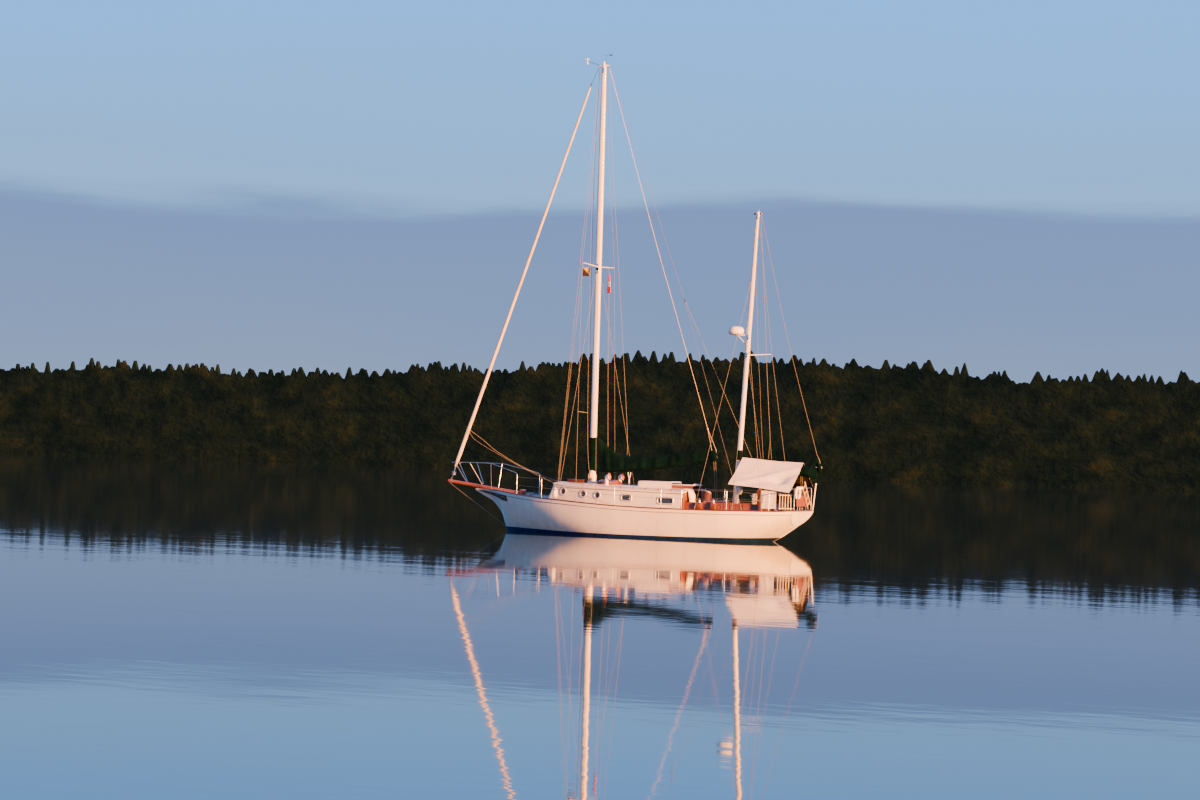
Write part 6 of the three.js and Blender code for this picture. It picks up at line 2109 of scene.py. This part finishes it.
def make_flags():
    """Two small plain flags, hanging limp under the spreaders."""
    burgee = ply(Shape(), grid(8, 8, burgee_point), (0, -0.003, 0))
    burgee = burgee.make("burgee_cloth", PENNANT, angle=70)
    courtesy = ply(Shape(), grid(12, 14, courtesy_point), (0.001, -0.003, 0))
    courtesy = courtesy.make("courtesy_flag_cloth", COURTESY, angle=70)


main_lines()
main_sheet()
mizzen_lines()
both(flag_lines)
make_flags()

# Coiled halyards. A coil's turns are racetracks that stand athwart the mast, side by side
COIL_FOLD = 0.036                # radius of the folds' centreline
COIL_LOW, COIL_HIGH = 1.848, 2.03
COIL_IN, COIL_OUT = 0.105, 0.23
COIL_ROPE = 0.012
COIL_TURNS = 10
FOLD_POINTS = 10
RUN_POINTS = 5


def coil_fold(z, start, end, steps):
    angles = [start + (end - start) * k / steps for k in range(steps)]
    return [(COIL_FOLD * math.cos(a), z + COIL_FOLD * math.sin(a)) for a in angles]


def coil_run(x, start, end):
    return [(x, start + (end - start) * k / RUN_POINTS) for k in range(RUN_POINTS)]


def coil_path(side):
    """Centreline of the whole coil, from the top of its first turn."""
    down, up = coil_run(COIL_FOLD, COIL_HIGH, COIL_LOW), coil_run(-COIL_FOLD, COIL_LOW, COIL_HIGH)
    turn = (coil_fold(COIL_HIGH, math.pi / 2, 0, FOLD_POINTS) + down
            + coil_fold(COIL_LOW, 0, -math.pi, 2 * FOLD_POINTS) + up
            + coil_fold(COIL_HIGH, math.pi, math.pi / 2, FOLD_POINTS))
    rope = turn * COIL_TURNS
    outward = (COIL_OUT - COIL_IN) / (len(rope) - 1)
    return [vec(MAIN_X + x, side * (COIL_IN + outward * i), z) for i, (x, z) in enumerate(rope)]


def halyard_coil(side, word):
    path = coil_path(side)
    node = "halyard_hank_" + word
    coil = Shape().tube(path, COIL_ROPE / 2, 8)
    coil = coil.make("halyard_coil_" + word, COIL_ROPE_LOOK, replaces=[node], angle=70)
    tie = Shape()
    for k in range(3):
        z = 1.925 + 0.0125 * k
        half = COIL_FOLD + 0.0115
        ring = rounded(COIL_OUT + 0.012, COIL_IN - 0.012, -half, half, 0.02)
        tie.tube(smooth_path([(MAIN_X + x, side * y, z) for y, x in ring], 3, loop=True), 0.0055, 6,
                 loop=True)
    tie = tie.make("halyard_coil_tie_" + word, COIL_ROPE_LOOK, angle=70)


both(halyard_coil)


# Deck gear
def winch(shape, at):
    shape.lathe([(0.0, 0.0), (0.062, 0.0), (0.06, 0.012), (0.05, 0.02), (0.0, 0.02)], at, steps=20)
    shape.lathe([(0.0, 0.02), (0.048, 0.02), (0.044, 0.03), (0.036, 0.05), (0.036, 0.085),
                 (0.046, 0.11), (0.05, 0.12), (0.046, 0.128), (0.02, 0.132), (0.018, 0.14),
                 (0.0, 0.14)], at, steps=24)


def cleat(shape, at, along=(1, 0, 0), long=0.105):
    at, along = Vector(at), Vector(along).normalized()
    shape.tube([at - along * long + vec(0, 0, 0.046), at - along * long * 0.5 + vec(0, 0, 0.036),
                at + along * long * 0.5 + vec(0, 0, 0.036), at + along * long + vec(0, 0, 0.046)],
               [0.007, 0.011, 0.011, 0.007], 8)
    for s in (-1, 1):
        shape.tube([at + along * long * 0.33 * s, at + along * long * 0.33 * s + vec(0, 0, 0.034)],
                   [0.014, 0.01], 10)


def deck_gear(side, word):
    pads, drums, cleats = Shape(), Shape(), Shape()
    for x in (-2.62, -3.12):
        y = coaming_half(x) + 0.068
        pads.box((x - 0.085, side * y - 0.066, 1.02),
                 (x + 0.085, side * y + 0.066, COAMING_TOP - 0.006), 0.014)
        winch(drums, (x, side * y, COAMING_TOP - 0.0055))
    pads.make("winch_pads_" + word, TEAK)
    drums.make("sheet_winches_" + word, STEEL, angle=40)
    for x in (4.6, 0.55, -4.62):
        y, z = deck_edge(x)
        y = max(y - 0.1, 0.12)
        cleat(cleats, (x, side * y, deck_z(x, y) + 0.001))
    cleats.make("mooring_cleats_" + word, BRONZE, angle=60)
    track = Shape()
    for a, b in zip(spread(-0.3, -2.2, 0.2), spread(-0.3, -2.2, 0.2)[1:]):
        ends = [vec(x, side * (beam_at(x) + 0.02 - CAP_WIDE / 2), sheer_at(x) + CAP_HIGH + 0.004)
                for x in (a, b)]
        track.bar(ends[0], ends[1], 0.028, 0.007, 0.002)
    track.make("genoa_track_" + word, STEEL)


def make_windlass():
    z = deck_z(4.2) + 0.001
    body = Shape().box((4.11, -0.075, z), (4.29, 0.075, z + 0.1), 0.02)
    drums = [(-0.155, 0.03), (-0.15, 0.052), (-0.115, 0.036), (-0.085, 0.055),
             (0.085, 0.055), (0.115, 0.036), (0.15, 0.052), (0.155, 0.03)]
    body.tube([(4.2, y, z + 0.095) for y, _ in drums], [r for _, r in drums], 20)
    body.make("windlass", GALVANISED, angle=40)
    chain = Shape()
    a, b = vec(4.24, -0.1, z + 0.055), vec(5.02, -0.105, deck_z(5.02, 0.1) + 0.014)
    count = 26
    for k in range(count):
        share = (k + 0.5) / count
        middle = a.lerp(b, share) - vec(0, 0, 0.05 * math.sin(math.pi * share))
        wide = vec(0, 1, 0) if k % 2 else vec(0, 0, 1)
        chain.tube([middle + (b - a).normalized() * 0.019 * math.cos(t)
                    + wide * 0.0105 * math.sin(t) for t in around(12)], 0.0042, 6, loop=True)
    chain.make("anchor_chain", GALVANISED, angle=70)


def make_steps():
    """Steps down from the companionway."""
    shape = Shape()
    for k in range(3):
        x, z = -1.8 + 0.1 * k, 0.86 - 0.28 * k
        shape.box((x - 0.09, -0.24, z - 0.028), (x + 0.09, 0.24, z), 0.006)
    for side in (1, -1):
        shape.bar((-1.88, side * 0.255, 1.02), (-1.5, side * 0.255, -0.295), 0.028, 0.11, 0.006)
    shape.make("companionway_steps", CABIN_WOOD)


both(deck_gear)
make_windlass()
make_steps()


# What hangs and stands about the cockpit and the stern
CURTAIN_AT = (-4.843, 1.1255, 1.694)        # its upper fore corner


def curtain_point(u, v):
    ripple = 0.0045 * math.sin(u * 13 + v * 2.0) * (0.35 + 0.65 * v)
    ripple += 0.003 * noise.noise((u * 5, v * 4, 3))
    scallop = 0.01 * abs(math.sin(u * 3 * math.pi))
    x, y, z = CURTAIN_AT
    return x - 0.524 * u, y + ripple, z - scallop * (1 - v) - 0.585 * v


def make_side_curtain():
    """A cloth laced between the lifelines on the port quarter, plain."""
    curtain = ply(Shape(), grid(16, 12, curtain_point), (0, -0.003, 0))
    curtain = curtain.make("side_curtain_cloth", WHITE_CLOTH, slot="awning_cloth",
                           replaces=["side_curtain"], angle=70)


TOWEL_FLAT = (0.45, 0.78)
TOWEL_ON_ROOF = 0.24             # how much of its length lies on the roof


def towel_point(u, v):
    y = 0.82 - 0.4 * u
    run = TOWEL_FLAT[1] * v
    if run < TOWEL_ON_ROOF:
        x = TRUNK_AFT + TOWEL_ON_ROOF - run
        z = roof_top(x, y) + 0.006
    else:
        fall = run - TOWEL_ON_ROOF
        x = TRUNK_AFT - (0.03 + 0.075 * min(fall / 0.2, 1) + 0.05 * fall)
        z = roof_top(TRUNK_AFT, y) + 0.006 - fall * 0.93
    fold = 0.03 * math.sin(u * 17 + 1.5 * math.sin(v * 3)) * clamp((run - 0.2) / 0.15)
    return x - fold - 0.03 * u, y + 0.3 * fold, z


def make_towel():
    """A cloth thrown over the roof's aft corner."""
    towel = ply(Shape(), grid(20, 18, towel_point), (0.002, 0, 0.003))
    towel = towel.make("white_towel", WHITE_CLOTH, angle=75)


BUOY_AT = vec(-5.955, 0.73, 1.62)


def horseshoe_buoy():
    middle, arc = BUOY_AT, []
    for k in range(19):
        a = math.radians(-62 + 304 * k / 18)
        arc.append(middle + vec(0, 0.165 * math.cos(a), 0.185 * math.sin(a)))
    shape = Shape().tube(arc, [0.03, *[0.052] * 17, 0.03], 14, flat=0.8)
    shape.make("horseshoe_buoy", BUOY, angle=70)
    straps = Shape()
    for k in (4, 9, 14):
        away = (arc[k] - middle).normalized()
        ring = [arc[k] + away * 0.057 * math.cos(t) + vec(0.046 * math.sin(t), 0, 0)
                for t in around(12)]
        straps.tube(ring, 0.006, 6, loop=True)
    straps.make("horseshoe_straps", VENT_RED, angle=70)


def stern_board():
    board = Shape().box((-5.888, -0.42, 1.2), (-5.862, 0.6, 1.56), 0.008)
    for y in (-0.26, 0.26):
        board.box((-5.862, y - 0.03, 1.26), (-5.846, y + 0.03, 1.3), 0.003)
    board.make("stern_board", TEAK)


LADDER_TOP, LADDER_FOOT = vec(-5.945, 0.2, 1.94), vec(-5.945, -0.34, 1.19)


def boarding_ladder():
    """A short ladder lashed across the stern rail."""
    ladder = Shape()
    top, foot = LADDER_TOP, LADDER_FOOT
    rung = vec(0, 0.2, -0.144)
    for across in (-0.5, 0.5):
        ladder.bar(top + rung * across, foot + rung * across, 0.022, 0.04, 0.005, (1, 0, 0))
    for k in range(4):
        at = top.lerp(foot, (k + 0.5) / 4)
        ladder.bar(at - rung * 0.5, at + rung * 0.5, 0.02, 0.032, 0.004, (1, 0, 0))
    ladder.make("boarding_ladder", CREAM_WOOD)


def stern_staff():
    post = Shape().tube([(-5.875, -0.86, 1.07), (-5.93, -0.95, 1.93)], 0.02, 12)
    post.lathe([(0.0, 0.0), (0.03, 0.0), (0.032, 0.03), (0.02, 0.05), (0.0, 0.05)],
               (-5.931, -0.952, 1.91), steps=16)
    post.make("stern_staff", SPAR, angle=50)


def rail_wrap():
    """A cloth rolled round the stern rail."""
    ys = [0.66 - 0.5 * k / 22 for k in range(23)]
    wrap = [(-5.888 - 0.012 * (1 - (y / 0.76) ** 2), y, 1.796) for y in ys]
    bulges = [0.046 + 0.008 * math.sin(k * 1.3) + 0.005 * math.sin(k * 3.1) for k in range(21)]
    roll = Shape().tube(wrap, [0.02, *bulges, 0.02], 14).make("rail_wrap", WHITE_CLOTH, angle=75)


def water_can():
    can = Shape().box((-5.5, 0.52, 0.968), (-5.24, 0.7, 1.29), 0.03)
    can.tube([(-5.46, 0.61, 1.285), (-5.44, 0.61, 1.325), (-5.32, 0.61, 1.325),
              (-5.3, 0.61, 1.285)], 0.012, 8)
    cap = [(0.0, 0.0), (0.026, 0.0), (0.026, 0.03), (0.0, 0.03)]
    can.lathe(cap, (-5.27, 0.61, 1.285), steps=14)
    can.make("water_can", BLUE, angle=50)


def quarter_slats():
    """Painted slats under the rail of the port quarter."""
    slats = Shape()
    for k in range(5):
        share = (k + 0.5) / 5
        x, y = -5.44 - 0.37 * share, 1.105 - 0.29 * share
        slats.bar((x, y, 1.085), (x, y, 1.6), 0.04, 0.016, 0.004, (1, 0, 0))
    for z in (1.13, 1.56):
        slats.bar((-5.44, 1.09, z), (-5.81, 0.8, z), 0.014, 0.03, 0.004)
    slats.make("quarter_slats", CREAM_WOOD)


def mizzen_pouch():
    """A canvas bag for line ends, tied to the mizzen mast."""
    rows = []
    for i in range(9):
        v = i / 8
        z = 1.52 + 0.27 * v
        deep = 0.06 + 0.05 * math.sin(math.pi * min(1, 0.15 + v * 0.8))
        x = mizzen_x(z) - 0.09
        rows.append([(x - deep * max(0, math.cos(a)) * (1 + 0.08 * math.sin(5 * a + v * 4)),
                      0.085 * math.sin(a), z)
                     for a in (math.pi * (k / 14 - 0.5) * 1.08 for k in range(15))])
    pouch = Shape().loft(rows).make("mizzen_pouch", WHITE_CLOTH, angle=75)


def mizzen_collar():
    """The cover's throat, wound round the mast above the boom."""
    rings = []
    for i in range(15):
        v = i / 14
        z = 2.66 + 0.33 * v
        grow = 0.016 + 0.01 * math.sin(v * 21) ** 2 - 0.012 * v
        rings.append([(mizzen_x(z) + (0.085 + grow) * math.cos(a), (0.06 + grow) * math.sin(a), z)
                      for a in around(24)])
    collar = Shape().loft(rings).make("mizzen_cover_throat", GREEN, angle=70)


def fender():
    shape = Shape().lathe([(0.0, -0.185), (0.02, -0.18), (0.03, -0.165), (0.07, -0.14),
                           (0.085, -0.105), (0.085, 0.105), (0.07, 0.14), (0.03, 0.165),
                           (0.02, 0.18), (0.0, 0.185)], (2.61, 1.265, 1.37), steps=20)
    shape.make("fender", BUOY, angle=50)
    line = Shape().tube([(2.61, 1.265, 1.548), (2.61, 1.3, 1.6), (2.61, 1.335, 1.655)], 0.005, 6)
    line.make("fender_lanyard", ROPE, angle=70)


def forked_post():
    """A forked post on the roof, for the poles laid along it."""
    z = roof_top(0.46, 0)
    shape = Shape().lathe([(0.0, -0.01), (0.05, -0.01), (0.048, 0.01), (0.022, 0.02), (0.018, 0.24),
                           (0.0, 0.245)], (0.46, 0, z), steps=18)
    for side in (1, -1):
        shape.tube(smooth_path([(0.46, 0, z + 0.22), (0.46, side * 0.045, z + 0.27),
                                (0.46, side * 0.085, z + 0.36), (0.46, side * 0.095, z + 0.43)], 4),
                   0.015, 10)
    shape.make("forked_post", DECKHOUSE, angle=50)


def boom_lacing():
    """Webbing that laces the main cover under its boom."""
    webs = Shape()
    start, end, half = MAIN_BOOM
    for x in spread(1.25, -2.35, 0.4):
        middle = start.lerp(end, (start.x - x) / (start.x - end.x))
        ring = [middle + vec(0, 0.076 * math.sin(a), -0.004 - 0.07 * math.cos(a)) for a in
                (math.pi * (k / 12 - 0.5) * 1.25 for k in range(13))]
        webs.tube(ring, 0.006, 6)
    webs.make("main_cover_lacing", GREEN_WEB, "main_boom", "cover_canvas", angle=70)


make_side_curtain()
make_towel()
horseshoe_buoy()
stern_board()
boarding_ladder()
stern_staff()
rail_wrap()
water_can()
quarter_slats()
mizzen_pouch()
mizzen_collar()
fender()
forked_post()
boom_lacing()


# Light and stage
SUN_FROM = (-0.93, 0.36, 0.165)  # low over the quarter
SUN_ENERGY = 30.0
SUN_COLOR = (1.0, 0.36, 0.06)
SUN_WIDTH = 7                    # degrees across, softened by haze
SKY_BANDS = ((0.0, (0.36, 0.48, 0.68)), (0.042, (0.28, 0.41, 0.72)), (0.088, (0.23, 0.37, 0.76)),
             (0.096, (0.34, 0.68, 1.2)), (0.17, (0.24, 0.74, 1.75)), (0.6, (0.07, 0.21, 0.56)))
SKY_LIGHT = 0.95
CLOUD_LIFT, CLOUD_DROP = 0.05, 0.025        # how far streaks of cloud move the bands
SHORE_X = (-300, 420)
SHORE_Y = -250
SHORE_STEP = 0.16
WATER_HALF = 420


def make_sky():
    world = bpy.data.worlds.new("sky")
    world.use_nodes = True
    bpy.context.scene.world = world
    n = Tree(world.node_tree, "Generated")
    clouds = n.noise(2.2, n.stretch((2.0, 2.0, 14.0)), detail=5, rough=0.5)
    values = {0: clouds, 1: CLOUD_LIFT, 2: n.axis("Z")}
    height = n.add("ShaderNodeMath", values, operation="MULTIPLY_ADD").outputs[0]
    back = n.tree.nodes["Background"]
    n.put(back, "Color", n.ramp(n.math("SUBTRACT", height, CLOUD_DROP), *SKY_BANDS))
    n.put(back, "Strength", SKY_LIGHT)


def make_sun():
    sun = bpy.data.lights.new("sun", "SUN")
    sun.energy = SUN_ENERGY
    sun.color = SUN_COLOR
    sun.angle = math.radians(SUN_WIDTH)
    lamp = bpy.data.objects.new("sun", sun)
    bpy.context.scene.collection.objects.link(lamp)
    lamp.rotation_mode = "QUATERNION"
    lamp.rotation_quaternion = Vector(SUN_FROM).to_track_quat("Z", "Y")


def make_shore():
    """Dark woods along the far shore."""
    rows = []
    for x in spread(*SHORE_X, SHORE_STEP):
        hills = 14.3 - 0.008 * x + noise.noise((x * 0.07, 3, 1))
        hills += 2.6 * noise.noise((x * 0.014, 0, 4))
        tops = []
        for wide, shift in ((1.35, 0.0), (0.95, 1.7), (2.1, 0.9)):
            tree, across = divmod((x + shift) / wide, 1)
            tall = 0.2 + 1.9 * noise.cell((tree * 1.7, shift * 9, 2)) ** 2
            tops.append(tall * (1 - abs(2 * across - 1)) * min(1.0, wide))
        z = hills + max(tops)
        rows.append([(x, SHORE_Y, -1), (x, SHORE_Y, z), (x, SHORE_Y - 0.6, z),
                     (x, SHORE_Y - 0.6, -1)])
    shore = Shape().loft(rows).make("shore", WOODS, body=None, angle=10)


def make_water():
    half = WATER_HALF
    floor = Shape().box((-half, -half, -0.02), (half, half, 0.0)).make("floor", WATER, body=None)


make_sky()
make_sun()
make_shore()
make_water()
